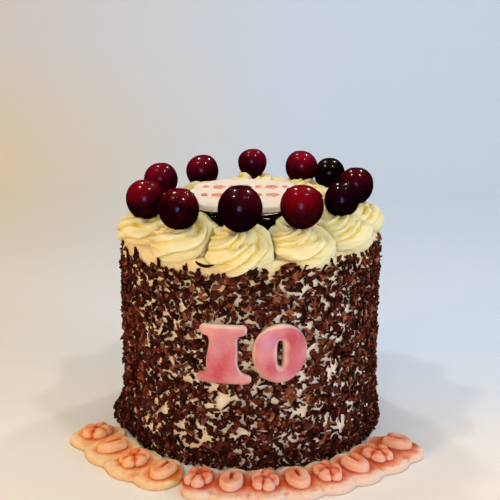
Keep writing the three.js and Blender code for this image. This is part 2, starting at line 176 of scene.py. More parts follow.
def plate(front, back):
    """A closed body between two grids of points, both rows by columns by 3, and the walls between
    their rims."""
    rows, columns = front.shape[:2]
    row, column = np.mgrid[0:rows - 1, 0:columns - 1]
    a = (row * columns + column).ravel()
    face = np.stack([a, a + columns, a + columns + 1, a + 1], axis=-1)
    other = face[:, ::-1] + rows * columns
    ids = np.arange(rows * columns).reshape(rows, columns)
    rim = np.concatenate([ids[0, :-1], ids[:-1, -1], ids[-1, :0:-1], ids[:0:-1, 0]])
    after = np.roll(rim, -1)
    walls = np.stack([rim, after, after + rows * columns, rim + rows * columns], axis=-1)
    points = np.concatenate([front.reshape(-1, 3), back.reshape(-1, 3)])
    return points, np.concatenate([face, other, walls]).tolist()


# ---------- Blender helpers ----------


def linked(name, data):
    """A new object for a mesh, a lamp or a camera, in the scene."""
    made = bpy.data.objects.new(name, data)
    bpy.context.scene.collection.objects.link(made)
    return made


def mesh_piece(name, points, faces, material, nodes=(), marks=None, faceted=False, mirrored=True):
    """A mesh from points in millimetres, on the cake's one body. It stands for the named nodes, and
    marks holds its named values per point. Glossy skins don't mirror it where mirrored is off."""
    mesh = bpy.data.meshes.new(name)
    mesh.from_pydata(np.asarray(points, float) * MM, [], faces)
    mesh.validate()
    for label, values in (marks or {}).items():
        layer = mesh.attributes.new(label, "FLOAT", "POINT")
        layer.data.foreach_set("value", np.asarray(values, np.float32))
    if not faceted:
        mesh.shade_smooth()
    mesh.materials.append(material)
    made = linked(name, mesh)
    made.visible_glossy = mirrored
    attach(made, "root")
    if nodes:
        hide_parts(*nodes)
    return made


def add(tree, kind, inputs=None, **settings):
    """Adds a node with its settings. Each input gets a value, or a link from another socket."""
    made = tree.nodes.new(kind)
    for key, value in settings.items():
        setattr(made, key, value)
    for key, value in (inputs or {}).items():
        if isinstance(value, bpy.types.NodeSocket):
            tree.links.new(value, made.inputs[key])
        else:
            made.inputs[key].default_value = value
    return made


def ramp(tree, factor, stops):
    """A colour that runs through the stops, pairs of a place from 0 to 1 and an sRGB hex colour."""
    made = add(tree, "ShaderNodeValToRGB", {"Fac": factor})
    while len(made.color_ramp.elements) < len(stops):
        made.color_ramp.elements.new(0.5)
    for element, (place, code) in zip(made.color_ramp.elements, stops):
        element.position = place
        element.color = tone(code)
    return made.outputs["Color"]


def blend(tree, factor, first, second):
    """Mixes two colours, each a socket or an sRGB hex colour."""
    made = add(tree, "ShaderNodeMix", {0: factor}, data_type="RGBA")
    for key, value in ((6, first), (7, second)):
        if isinstance(value, bpy.types.NodeSocket):
            tree.links.new(value, made.inputs[key])
        else:
            made.inputs[key].default_value = tone(value)
    return made.outputs[2]


def grain(tree, size, detail=3.0, roughness=0.55):
    """Noise from 0 to 1 with blots of about size millimetres, on Object coordinates."""
    place = add(tree, "ShaderNodeTexCoord").outputs["Object"]
    inputs = {"Vector": place, "Scale": 1 / (size * MM), "Detail": detail, "Roughness": roughness}
    return add(tree, "ShaderNodeTexNoise", inputs).outputs["Fac"]


def mark(tree, label):
    """A piece's own value per point."""
    return add(tree, "ShaderNodeAttribute", attribute_name=label).outputs["Fac"]


def spread(tree, value, low, high, start=0.0, end=1.0):
    """Takes a value from the range low to high to the range start to end, held at its ends."""
    inputs = {"Value": value, "From Min": low, "From Max": high, "To Min": start, "To Max": end}
    return add(tree, "ShaderNodeMapRange", inputs).outputs["Result"]


def bump(tree, height, depth):
    """Turns a height from 0 to 1 into relief that is depth millimetres deep."""
    inputs = {"Height": height, "Distance": depth * MM, "Strength": 1.0}
    return add(tree, "ShaderNodeBump", inputs).outputs["Normal"]


def new_material(name, slot):
    """A material for one of the record's slots, with its node tree and its shader."""
    made = bpy.data.materials.new(name)
    made.use_nodes = True
    made["slot"] = slot
    shader = made.node_tree.nodes["Principled BSDF"]
    return made, made.node_tree, shader


def join(tree, shader, **sockets):
    """Sets or links the shader's sockets. An underscore stands for a space in a socket's name."""
    for key, value in sockets.items():
        socket = shader.inputs[key.replace("_", " ")]
        if isinstance(value, bpy.types.NodeSocket):
            tree.links.new(value, socket)
        else:
            socket.default_value = value


# ---------- Materials ----------


def shaved_chocolate():
    """Dark couverture with some milk chocolate, shaved with a knife. Cut faces are satin, and each
    shaving keeps one shade, with painted light on its points: paler along the rim of its face, partly
    bruising and partly a painted highlight, and darker against the cream, a painted shade."""
    made, tree, shader = new_material("shaved dark chocolate", "shaved_chocolate")
    shades = [(0.0, "160402"), (0.28, "340C06"), (0.54, "682A18"), (0.8, "9E583A"), (1.0, "C88860")]
    base = ramp(tree, mark(tree, "shade"), shades)
    bruised = spread(tree, grain(tree, 1.4), 0.5, 0.8, 0.0, 0.4)
    colour = blend(tree, bruised, base, "8C482A")
    scratches = grain(tree, 0.5, 2.0, 0.7)
    join(tree, shader, Base_Color=colour, Roughness=spread(tree, scratches, 0.3, 0.7, 0.24, 0.48))
    join(tree, shader, Normal=bump(tree, scratches, 0.12), IOR=1.5, Specular_IOR_Level=0.42)
    join(tree, shader, Specular_Tint=tone("FFDCCC"))
    return made


def coat_cream():
    """Whipped cream spread with a palette knife: matt, soft-lit from inside, yellower near the top
    edge where it is thick, and a little stained by chocolate dust."""
    made, tree, shader = new_material("spread whipped cream", "whipped_cream")
    dust = spread(tree, grain(tree, 3.0, 4.0, 0.65), 0.4, 0.75, 0.0, 0.6)
    place = add(tree, "ShaderNodeSeparateXYZ", {0: add(tree, "ShaderNodeTexCoord").outputs["Object"]})
    fresh = blend(tree, spread(tree, place.outputs["Z"], 0.108, 0.124), "F9F2DA", "FAEDB8")
    colour = blend(tree, dust, fresh, "E4CEA4")
    join(tree, shader, Base_Color=colour, Roughness=0.6, IOR=1.45)
    join(tree, shader, Subsurface_Weight=0.15, Subsurface_Radius=(1.6, 1.2, 0.7), Subsurface_Scale=MM)
    join(tree, shader, Normal=bump(tree, grain(tree, 1.2), 0.25))
    return made


def piped_cream():
    """Whipped cream piped through a star nozzle: satin on its crests, with a painted shade of deeper
    yellow in its folds.
    """
    made, tree, shader = new_material("piped whipped cream", "whipped_cream")
    fold_shade = mark(tree, "fold_shade")
    fold_shade_stops = [(0.0, "FDF6CE"), (0.34, "FBEEA8"), (0.56, "FAE478"), (0.8, "FADE56"), (1.0, "F8D644")]
    body = ramp(tree, fold_shade, fold_shade_stops)
    cloudy = spread(tree, grain(tree, 9.0, 2.0), 0.35, 0.7, 0.0, 0.3)
    colour = blend(tree, cloudy, body, "F8E384")
    join(tree, shader, Base_Color=colour, Roughness=0.36, IOR=1.45)
    join(tree, shader, Subsurface_Weight=0.5, Subsurface_Radius=(2.4, 2.0, 0.9), Subsurface_Scale=MM)
    join(tree, shader, Normal=bump(tree, grain(tree, 0.9), 0.1))
    return made


def cherry_skin(index, ripe_and_shaded, flushed_and_lit):
    """Fresh sweet cherry: a thin taut skin over dark flesh, with fine pale specks, glazed by its own wax.
    Its colour runs from near black at its foot, a painted shade, to red at its top, a painted light, and
    is redder on one cheek at random."""
    made, tree, shader = new_material(f"cherry skin {index:02d}", "cherry_skin")
    mottle = spread(tree, grain(tree, 5.0, 3.0), 0.3, 0.7, -0.12, 0.12)
    flush_and_lit_top = add(tree, "ShaderNodeMath", {0: mark(tree, "flush_and_lit_top"), 1: mottle}, operation="ADD")
    body = blend(tree, flush_and_lit_top.outputs[0], ripe_and_shaded, flushed_and_lit)
    specks = spread(tree, grain(tree, 0.55, 1.0), 0.68, 0.78, 0.0, 0.28)
    colour = blend(tree, specks, body, "98202C")
    skin = bump(tree, grain(tree, 3.5), 0.12)
    join(tree, shader, Base_Color=colour, Roughness=0.3, IOR=1.42, Specular_IOR_Level=0.1)
    join(tree, shader, Coat_Weight=0.7, Coat_Roughness=0.06, Coat_IOR=1.42)
    join(tree, shader, Normal=skin, Coat_Normal=skin)
    return made


def set_filling():
    """Cherry juice and dark chocolate, set to a wet gloss."""
    made, tree, shader = new_material("set cherry filling", "cherry_filling")
    colour = blend(tree, spread(tree, grain(tree, 4.0), 0.4, 0.7), "0C0809", "1E0C10")
    join(tree, shader, Base_Color=colour, Roughness=0.16, IOR=1.46, Coat_Weight=0.6)
    join(tree, shader, Coat_Roughness=0.05, Normal=bump(tree, grain(tree, 2.5), 0.5))
    return made


def pearl_fondant():
    """Rolled pink fondant brushed with pearl dust: soft and satin, uneven pink, a pale rim that is partly
    a painted highlight, and blots of lilac pearl dust that are a painted sheen."""
    made, tree, shader = new_material("pearl pink fondant", "pink_fondant")
    rosy = ramp(tree, mark(tree, "rose"), [(0.0, "EEAAA4"), (0.45, "E48E98"), (1.0, "D65668")])
    powdery = spread(tree, grain(tree, 1.1, 2.0), 0.5, 0.75, 0.0, 0.22)
    powdered = blend(tree, powdery, rosy, "F6C6BC")
    # Painted light: lilac sheen in blots, and a pale rim that is partly a painted highlight
    pearl_sheened = blend(tree, mark(tree, "pearl_sheen"), powdered, "E2A6CC")
    rimmed_and_highlit = blend(tree, mark(tree, "rim"), pearl_sheened, "FBE2D0")
    join(tree, shader, Base_Color=rimmed_and_highlit, Roughness=0.34, IOR=1.46)
    join(tree, shader, Coat_Weight=0.5, Coat_Roughness=0.24)
    join(tree, shader, Subsurface_Weight=0.15, Subsurface_Radius=(2.4, 1.0, 0.7), Subsurface_Scale=MM)
    join(tree, shader, Sheen_Weight=0.15, Sheen_Roughness=0.4, Sheen_Tint=tone("E8C8F0"))
    join(tree, shader, Normal=bump(tree, grain(tree, 4.0, 4.0), 0.6))
    return made


def dusted_fondant(name, slot, pale, coral, deep):
    """Rolled fondant dusted with coral petal dust, which gathers in the low places."""
    made, tree, shader = new_material(name, slot)
    patches = spread(tree, grain(tree, 7.0, 3.0), 0.3, 0.7, -0.25, 0.25)
    dust = add(tree, "ShaderNodeMath", {0: mark(tree, "dust"), 1: patches}, operation="ADD")
    colour = ramp(tree, dust.outputs[0], [(0.1, pale), (0.5, coral), (0.95, deep)])
    join(tree, shader, Base_Color=colour, Roughness=0.46, IOR=1.46)
    join(tree, shader, Subsurface_Weight=0.25, Subsurface_Radius=(3.0, 1.6, 1.0), Subsurface_Scale=MM)
    join(tree, shader, Normal=bump(tree, grain(tree, 2.5), 0.2))
    return made


CHOCOLATE = shaved_chocolate()
COAT_CREAM = coat_cream()
PIPED_CREAM = piped_cream()
FILLING = set_filling()
PEARL_PINK = pearl_fondant()
WHITE_FONDANT = dusted_fondant("white fondant", "white_fondant", "FFF6EC", "F6C0AC", "E89070")
PEACH_FONDANT = dusted_fondant("peach dusted fondant", "peach_fondant", "FAD8A8", "F29C5C", "DC6C24")
ROSE_FONDANT = dusted_fondant("rose dusted fondant", "peach_fondant", "F9DAC4", "EA926E", "D45A2C")
CORAL_FONDANT = dusted_fondant("coral dusted fondant", "coral_fondant", "F9C494", "F08E50", "CC5004")
ROSE_CORAL_FONDANT = dusted_fondant(
    "rose coral dusted fondant", "coral_fondant", "F6C4AC", "EA8C64", "C0440C")

# ---------- The cream coat ----------


def coat_radius(angle, z):
    """Outer reach of the coat: the cake's radius, a spread that dies away from the foot, wider at
    the sides, and a heap of loose shavings at the left."""
    aside = angle_from(angle, DRIFT["middle"]) / DRIFT["spread"]
    heap = np.maximum(0, 1 - aside**2) * np.maximum(0, 1 - z / DRIFT["height"]) ** 1.5
    foot = mix(FOOT_SPREAD["front"], FOOT_SPREAD["sides"], np.cos(angle) ** 2)
    return CAKE_RADIUS + foot * np.exp(-z / FOOT_SPREAD["height"]) + DRIFT["reach"] * heap


def cream_radius(angle, z):
    """The cream under the shavings: the coat's reach less its depth, uneven where the palette knife
    passed."""
    smear = relief(polar(angle, CAKE_RADIUS, z) * (1, 1, 1.6), 16, 3)
    chatter = relief(polar(angle, CAKE_RADIUS, z), 6, 4)
    return coat_radius(angle, z) - CREAM_DEPTH + 0.35 * smear + 0.25 * chatter


def cream_coat():
    """The side is a grid of angle by height at cream_radius. A quarter round takes it over the edge,
    and rings of falling radius close the top and the underside."""
    sides = 420
    angle = np.arange(sides) / sides * TURN
    heights = np.linspace(0, CAKE_HEIGHT - TOP_EDGE, 110)
    wall = polar(angle, cream_radius(angle[None], heights[:, None]), heights[:, None])
    over = np.linspace(0, math.pi / 2, 8)[1:, None]
    radius = cream_radius(angle[None], CAKE_HEIGHT - TOP_EDGE) - TOP_EDGE * (1 - np.cos(over))
    edge = polar(angle, radius, CAKE_HEIGHT - TOP_EDGE * (1 - np.sin(over)))
    inwards = np.linspace(0.95, 0.05, 19)[:, None, None]
    top = edge[-1:] * np.concatenate([inwards, inwards, np.ones_like(inwards)], axis=-1)
    below = np.linspace(0.05, 0.95, 10)[:, None, None]
    under = wall[:1] * np.concatenate([below, below, np.ones_like(below)], axis=-1)
    points, faces = capped(np.concatenate([under, wall, edge, top]))
    return mesh_piece("cream_coat", points, faces, COAT_CREAM, ["cake"], mirrored=False)


cream_coat()

# ---------- Numerals ----------


def serif(beyond, stem, reach, fillet):
    """Half the width of a stem that flares to a serif, by the height beyond where the flare begins: a
    quarter of an ellipse out from the stem, then a quarter round that rounds off the serif's tip."""
    tip = ONE["tip"]
    out = 1 - np.sqrt(1 - np.clip(beyond / fillet, 0, 1) ** 2)
    rounded = np.sqrt(1 - (1 - np.clip((beyond - fillet) / tip, 0, 1)) ** 2)
    return stem + (reach - tip - stem) * out + tip * rounded


def one_half_width(z):
    """Half the width of the numeral 1: a stem with a serif at each end."""
    foot = serif(ONE["bottom"] + ONE["foot_rise"] - z, ONE["stem"], ONE["foot"], ONE["foot_fillet"])
    head = serif(z - ONE["top"] + ONE["head_drop"], ONE["stem"], ONE["head"], ONE["head_fillet"])
    return np.maximum(foot, head)


def in_numeral(arc, z, margin):
    """Whether a place on the side, by arc length from the front and height, lies within margin of a
    numeral's outline."""
    in_one = np.abs(arc - ONE["middle"]) < one_half_width(z) + margin
    in_one &= (z > ONE["bottom"] - margin) & (z < ONE["top"] + margin)
    across = (arc - ZERO["middle"]) / (ZERO["half_width"] + margin)
    up = (z - ZERO["height"]) / (ZERO["half_height"] + margin)
    slot_across = (arc - ZERO["middle"]) / max(0.1, SLOT["half_width"] - margin)
    slot_up = (z - ZERO["height"]) / max(0.1, SLOT["half_height"] - margin)
    in_zero = (across**2 + up**2 < 1) & (slot_across**2 + slot_up**2 > 1)
    return in_one | in_zero


def on_side(arc, radius, z):
    """A point on the cake's side, by arc length right of the front, radius and height."""
    return polar(FRONT + arc / CAKE_RADIUS, radius, z)


def pillow(depth, rounding=3.4):
    """How far the face has risen at a depth inside the outline, 0 to 1, as a quarter round."""
    inside = np.clip(depth / rounding, 0, 1)
    return np.sqrt(1 - (1 - inside) ** 2)


def closer_at_ends(count):
    """Places from -1 to 1 that crowd towards both ends, as a sine does."""
    return np.sin(np.linspace(-math.pi / 2, math.pi / 2, count))


def numeral_marks(arc, z, depth, pearl_sheen_blots, roses):
    """The rim is pale to a depth of 1.5 mm inside the outline, and to 2.3 mm along the top: the fondant's
    own pale edge, with a painted highlight that is wider and stronger along the top. Pearl dust, painted
    as a lilac sheen, and deeper rose lie in soft blots, each with an arc length, a height, a radius and a
    strength."""
    uneven = 0.16 * relief(np.stack([arc, z, 0 * z], axis=-1), 12, 21)
    # Painted highlight: the pale rim is stronger and wider along the top, where the light catches it
    highest = smooth(ONE["top"] - 4, ONE["top"] - 1, z)
    rim = mix(0.8, 0.95, highest) * (1 - smooth(0.1, mix(1.5, 2.3, highest), depth + 2 * uneven))
    marks = {"rim": rim, "pearl_sheen": uneven - 0.1, "rose": 0.42 + uneven}
    for label, blots in (("pearl_sheen", pearl_sheen_blots), ("rose", roses)):
        for x, y, radius, strength in blots:
            away = (arc - x) ** 2 + (z - y) ** 2
            marks[label] = marks[label] + strength * np.exp(-away / radius**2)
    return {label: np.clip(values, 0, 1) for label, values in marks.items()}


def numeral_one():
    """Rows up the numeral by places across it. The face stands on a quarter round all along the
    outline, its corners are rounded by drawing the end rows in, its stem leans out at the lower left,
    and it is a little fuller at the right."""
    height = ONE["top"] - ONE["bottom"]
    rows = ONE["bottom"] + height * (closer_at_ends(120) + 1) / 2
    across = closer_at_ends(41)
    z, column = np.meshgrid(rows, across, indexing="ij")
    end = np.minimum(z - ONE["bottom"], ONE["top"] - z)
    drawn_in = ONE["corner"] * (1 - np.sqrt(1 - (1 - np.clip(end / ONE["corner"], 0, 1)) ** 2))
    widest = ONE["bottom"] + 13
    lean = smooth(ONE["bottom"] + 6, widest, z) * (1 - smooth(widest, ONE["top"] - 10, z))
    half = one_half_width(z) - drawn_in + np.where(column < 0, ONE["lean"] * lean, ONE["fuller_right"])
    arc = ONE["middle"] + column * half
    depth = np.minimum((1 - np.abs(column)) * half, end)
    rise = pillow((1 - np.abs(column)) * half) * pillow(end)
    dents = 0.25 * relief(np.stack([arc, z, 0 * z], axis=-1), 9, 22)
    face = on_side(arc, mix(NUMERAL_BACK + NUMERAL_RIM, NUMERAL_FACE, rise) + dents * rise, z)
    back = on_side(arc, NUMERAL_BACK, z)
    points, faces = plate(face[:, ::-1], back[:, ::-1])
    # Blots of painted lilac sheen
    pearl_sheen_blots = [(-19, 79, 5.5, 0.45), (-13, 90, 5, 0.3)]
    roses = [(-18, 66, 7, 0.6), (-13, 76, 5, 0.3), (-24, 91, 6, -0.5), (-6, 60, 5, -0.2)]
    marks = numeral_marks(arc[:, ::-1], z[:, ::-1], depth[:, ::-1], pearl_sheen_blots, roses)
    marks = {label: np.tile(values.ravel(), 2) for label, values in marks.items()}
    return mesh_piece("numeral_1_fondant", points, faces, PEARL_PINK, ["numeral_1"], marks)


def numeral_zero():
    """A ring between the slot and the outer ellipse. Its section is a pillow: flat behind, a quarter
    round up from either rim. The slot is an ellipse with full corners, and narrows towards the
    cake."""
    sides, across = 120, 21
    around = np.arange(sides) / sides * TURN
    over = (closer_at_ends(across) + 1) / 2
    v = np.concatenate([over, over[::-1]])
    facing = np.repeat([1.0, 0.0], across)
    u, share = np.meshgrid(around, v, indexing="ij")
    wobble = 1 + 0.012 * np.sin(2 * u + 1) + 0.01 * np.sin(3 * u)
    drawn_in = mix(1.6, 1.1, facing)
    squared = 1 + 0.16 * (1 - share) * np.abs(np.sin(2 * u))
    half_width = mix(SLOT["half_width"] - drawn_in, ZERO["half_width"] * wobble, share) * squared
    half_height = mix(SLOT["half_height"] - drawn_in, ZERO["half_height"] * wobble, share) * squared
    arc = ZERO["middle"] + half_width * np.cos(u)
    z = ZERO["height"] + half_height * np.sin(u)
    width = mix(ZERO["half_width"] - SLOT["half_width"], ZERO["end_width"], np.abs(np.sin(u)))
    rise = pillow(share * width, 2.6) * pillow((1 - share) * width, 3.8)
    depth = np.minimum(0.55 * share, 1 - share) * width
    dents = 0.25 * relief(np.stack([arc, z, 0 * z], axis=-1), 9, 23)
    front = mix(NUMERAL_BACK + NUMERAL_RIM, NUMERAL_FACE, rise) + dents * rise
    radius = np.where(facing[None] > 0, front, NUMERAL_BACK)
    points = on_side(arc, radius, z).reshape(-1, 3)
    faces = ring_quads(sides + 1, 2 * across) % (sides * 2 * across)
    # Blots of painted lilac sheen
    pearl_sheen_blots = [(10, 85, 6.5, 0.55), (7, 77, 6, 0.3)]
    roses = [(24, 84, 8, 0.6), (11, 68, 6, 0.5), (25, 70, 7, 0.35), (18, 60, 7, -0.35), (6, 72, 4, -0.3)]
    marks = numeral_marks(arc, z, depth, pearl_sheen_blots, roses)
    marks = {label: values.ravel() for label, values in marks.items()}
    return mesh_piece("numeral_0_fondant", points, faces.tolist(), PEARL_PINK, ["numeral_0"], marks)


numeral_one()
numeral_zero()

# ---------- Chocolate shavings ----------

# Places where the cream shows most: arc length from the front, height, half width, half height
BARE_PLACES = [
    (-19.4, 41.9, 4.2, 6), (-15.1, 46, 5.5, 2.6), (-31.8, 21, 3.6, 6.5), (54.8, 62, 5.4, 4.4),
    (56.2, 19, 5.4, 3), (43, 77, 3, 3.6), (65, 22, 3.6, 7), (-60, 30, 4.6, 4.2), (30, 37, 4.6, 3),
    (-5, 24, 4.6, 3), (-40, 55, 3, 3.6), (2, 66, 2.8, 3.6), (-72, 16, 3.8, 4), (38, 92, 3.4, 3),
]

# The band under the swirls starts at this height and lacks this share of its chips. Where it reaches
# lower or stops higher: arc length, half width and how far
BAND_START = 127.0
BAND_BARE = 0.92
BAND_DROPS = [(-36, 22, 5.0), (-128, 34, 11.0), (70, 24, -5.0), (-84, 24, 4.5)]


def cover(angle, z):
    """The share of chips that stay: most of them, fewer in random thin patches and in the bare
    places, few in the band under the swirls, and all of them at the foot."""
    arc = angle_from(angle, FRONT) * CAKE_RADIUS
    places = polar(angle, CAKE_RADIUS, z)
    thin = smooth(0.4, 1.2, relief(places, 22, 31)) * 0.25
    thin = thin + smooth(0.4, 1.0, relief(places, 8, 32)) * 0.6
    for middle, height, half_width, half_height in BARE_PLACES:
        away = ((arc - middle) / half_width) ** 2 + ((z - height) / half_height) ** 2
        thin = thin + 0.9 * np.exp(-away)
    foot = 1 - smooth(5, 14, z)
    band_start = BAND_START + 1.6 * relief(places, 16, 33)
    for middle, half_width, drop in BAND_DROPS:
        band_start = band_start - drop * np.exp(-(((arc - middle) / half_width) ** 2))
    band = smooth(band_start, band_start + 3.5, z)
    return np.clip(np.clip(1 - thin, 0, 1) * (1 - foot) + foot, 0, 1) * (1 - BAND_BARE * band)


def scatter(spacing, low, high, random, share, clear=-1.2):
    """One place drawn at random in each square of a grid wrapped round the cake, kept by cover, by
    share and where it is clear of the numerals."""
    columns = int(TURN * CAKE_RADIUS / spacing)
    rows = int((high - low) / spacing)
    row, column = np.mgrid[0:rows, 0:columns]
    angle = (column + random.uniform(-0.1, 1.1, row.shape)) / columns * TURN
    z = low + (row + random.uniform(-0.1, 1.1, row.shape)) * spacing
    angle, z = angle.ravel(), z.ravel()
    kept = random.uniform(size=angle.size) < cover(angle, z) * share
    arc = angle_from(angle, FRONT) * CAKE_RADIUS
    kept &= ~in_numeral(arc, z, clear)
    return angle[kept], z[kept]


def turned(shapes, spin, lean, roll):
    """Turns each shape, an array of shapes by points by 3: roll about its length, lean about its
    width, and spin in the plane of the coat."""
    x, y, z = np.moveaxis(shapes, -1, 0)
    spin, lean, roll = spin[:, None], lean[:, None], roll[:, None]
    y, z = y * np.cos(roll) - z * np.sin(roll), y * np.sin(roll) + z * np.cos(roll)
    x, z = x * np.cos(lean) + z * np.sin(lean), z * np.cos(lean) - x * np.sin(lean)
    x, y = x * np.cos(spin) - y * np.sin(spin), x * np.sin(spin) + y * np.cos(spin)
    return np.stack([x, y, z], axis=-1)


def on_coat(shapes, angle, z, lift):
    """Lays shapes on the cream, at a lift over it: their length runs round the cake, their width up
    and their thickness outwards."""
    radius = cream_radius(angle, z) + lift
    outwards = np.stack([np.cos(angle), np.sin(angle), 0 * angle], axis=-1)
    sideways = np.stack([-np.sin(angle), np.cos(angle), 0 * angle], axis=-1)
    upwards = np.array([0.0, 0.0, 1.0])
    centres = outwards * radius[:, None] + upwards * z[:, None]
    x, y, out = (shapes[..., i:i + 1] for i in range(3))
    placed = centres[:, None] + x * sideways[:, None] + y * upwards + out * outwards[:, None]
    placed[..., 2] = np.maximum(placed[..., 2], 0.15)
    return placed


def repeated(shape_faces, count, points_each):
    """The faces of one shape, repeated for every shape of a joined mesh."""
    starts = np.arange(count) * points_each
    return [(faces[None] + starts[:, None, None]).reshape(-1, faces.shape[1]) for faces in shape_faces]


def chips(count, random, length, width, thickness):
    """Chips. Each is an uneven outline of six corners, drawn out to its length and width, bent along
    its length, with two faces a thickness apart. Most are scoops with a sunk middle, some are
    domed."""
    corners = 6
    around = (np.arange(corners) + random.uniform(-0.42, 0.42, (count, corners))) * TURN / corners
    reach = random.uniform(0.45, 1.0, (count, corners))
    x = length[:, None] / 2 * reach * np.cos(around)
    y = width[:, None] / 2 * reach * np.sin(around)
    bend = random.uniform(-0.5, 0.9, count)[:, None] / length[:, None]
    sag = bend * x**2
    half = thickness[:, None] / 2
    front = np.stack([x * 0.88, y * 0.88, sag + half * random.uniform(0.3, 1.7, x.shape)], axis=-1)
    back = np.stack([x, y, sag - half], axis=-1)
    scoop = random.uniform(-1.0, 1.5, count) * length / 6
    middle = np.zeros((count, 2, 3))
    middle[:, 0, 2] = half[:, 0] - scoop
    middle[:, 1, 2] = -half[:, 0] - scoop
    shapes = np.concatenate([front, back, middle], axis=1)
    side = np.arange(corners)
    beside = (side + 1) % corners
    face = np.stack([side, beside, np.full(corners, 2 * corners)], axis=-1)
    rear = np.stack([beside + corners, side + corners, np.full(corners, 2 * corners + 1)], axis=-1)
    wall = np.stack([side + corners, beside + corners, beside, side], axis=-1)
    return shapes, [np.concatenate([face, rear]), wall]


def curls(count, random, length, width, thickness, bend=None):
    """Curled shavings. Each is a strip that follows an arc, with pointed ends and a four-cornered
    section."""
    stations = 8
    along = np.linspace(-1, 1, stations)
    if bend is None:
        bend = random.uniform(0.3, 2.3, count)
    bend = bend[:, None]
    radius = length[:, None] / bend
    heading = bend / 2 * along
    x = radius * np.sin(heading)
    rise = radius * (1 - np.cos(heading)) - 0.4 * radius * (1 - np.cos(bend / 2))
    taper = (1 - np.abs(along) ** 3 * 0.8)[None]
    half_width = width[:, None] / 2 * taper
    half = thickness[:, None] / 2 * (0.6 + 0.4 * taper)
    skew = random.uniform(-0.5, 0.5, count)[:, None] * width[:, None] * along
    rings = []
    for across, out in ((-1, -1), (1, -1), (1, 1), (-1, 1)):
        corner_x = x - out * half * np.sin(heading)
        corner_z = rise + out * half * np.cos(heading)
        rings.append(np.stack([corner_x, across * half_width + skew, corner_z], axis=-1))
    shapes = np.stack(rings, axis=2).reshape(count, stations * 4, 3)
    last = (stations - 1) * 4
    ends = np.array([[3, 2, 1, 0], [last, last + 1, last + 2, last + 3]])
    return shapes, [np.concatenate([ring_quads(stations, 4), ends])]


def crumbs(count, random, size):
    """Crumbs: cubes with every corner moved at random."""
    corner = np.array([[x, y, z] for z in (-1, 1) for x, y in ((-1, -1), (1, -1), (1, 1), (-1, 1))])
    shapes = corner[None] * random.uniform(0.25, 0.62, (count, 8, 3)) * size[:, None, None]
    ends = np.array([[3, 2, 1, 0], [4, 5, 6, 7]])
    return shapes, [np.concatenate([ring_quads(2, 4), ends])]


def shavings_piece(name, shapes, faces, random, palest=1.0, bruise_and_edge_light=0.0):
    """Joins the shapes to one mesh. Each shape has its own shade, mostly dark and sometimes milk
    chocolate, up to the palest. Its points vary a little about it, and by bruise_and_edge_light: bruising
    and a painted highlight on the rim of its face, and painted shade against the cream."""
    count, points_each = shapes.shape[:2]
    corners = [face for kind in repeated(faces, count, points_each) for face in kind.tolist()]
    shade = (palest * random.beta(1.2, 2.3, count))[:, None]
    # Painted light: paler face rims, partly bruising and partly a painted highlight, and a painted shade
    # against the cream
    shade = shade + random.uniform(-0.18, 0.2, (count, points_each)) + bruise_and_edge_light
    marks = {"shade": np.clip(shade, 0, 1).ravel()}
    points = shapes.reshape(-1, 3)
    return mesh_piece(name, points, corners, CHOCOLATE, ["cake"], marks, faceted=True)


# How much paler a chip is than its shade: the rim of its face, from bruising and a painted highlight,
# the rim against the cream, darker as painted shade, and the two middles, a little darker as painted
# shade
CHIP_BRUISE_AND_EDGE_LIGHT = np.repeat([0.08, -0.14, -0.02], [6, 6, 2])

# Each layer's grid spacing, the range of its chips' lengths and of their lifts over the cream, how far
# they lean, the share of places that hold one, how high the layer goes, how far it stays clear of the
# numerals, and its palest shade
CHIP_LAYERS = [
    {"name": "under", "seed": 41, "spacing": 3.1, "lengths": (3.4, 7.4), "lifts": (0.1, 0.9),
     "lean": 0.25, "share": 1.0, "top": 129.0, "clear": -2.0, "palest": 1.0},
    {"name": "over", "seed": 43, "spacing": 4.2, "lengths": (4.2, 9.8), "lifts": (0.7, 1.8),
     "lean": 0.28, "share": 0.85, "top": 129.0, "clear": 0.2, "palest": 1.0},
    # The foot layer's palest of 0.85 is a painted shade at the foot
    {"name": "foot", "seed": 47, "spacing": 2.9, "lengths": (2.8, 6.6), "lifts": (0.9, 2.4),
     "lean": 0.5, "share": 0.85, "top": 14.0, "clear": -1.2, "palest": 0.85},
]


def chip_layer(layer):
    """One layer of chips over the side. Those low down are darker, a painted shade towards the foot."""
    random = np.random.default_rng(layer["seed"])
    angle, z = scatter(layer["spacing"], 0.6, layer["top"], random, layer["share"], layer["clear"])
    count = angle.size
    length = random.uniform(*layer["lengths"], count)
    width = length * random.uniform(0.25, 0.85, count)
    thickness = random.uniform(0.5, 1.2, count)
    shapes, faces = chips(count, random, length, width, thickness)
    spin = random.uniform(0, TURN, count)
    lean = random.normal(0, layer["lean"], count)
    shapes = turned(shapes, spin, lean, random.normal(0, layer["lean"], count))
    placed = on_coat(shapes, angle, z, random.uniform(*layer["lifts"], count))
    # Painted shade: the palest shade falls to 0.7 of the layer's own below 10 mm and is full again at 70
    # mm
    palest = layer["palest"] * mix(0.7, 1, smooth(10, 70, z))
    name = f"chocolate_chips_{layer['name']}"
    return shavings_piece(name, placed, faces, random, palest, CHIP_BRUISE_AND_EDGE_LIGHT)


def curl_layer():
    """Curls and slivers lie over the chips, most of them with their ends off the coat."""
    random = np.random.default_rng(53)
    angle, z = scatter(5.4, 2.0, 126.0, random, 0.62, 1.5)
    count = angle.size
    length = random.uniform(5.5, 12.0, count)
    width = random.uniform(1.3, 3.6, count)
    thickness = random.uniform(0.45, 0.9, count)
    shapes, faces = curls(count, random, length, width, thickness)
    spin = random.uniform(0, TURN, count)
    shapes = turned(shapes, spin, random.normal(0, 0.12, count), random.normal(0, 0.5, count))
    placed = on_coat(shapes, angle, z, random.uniform(0.4, 1.3, count))
    return shavings_piece("chocolate_curls", placed, faces, random)


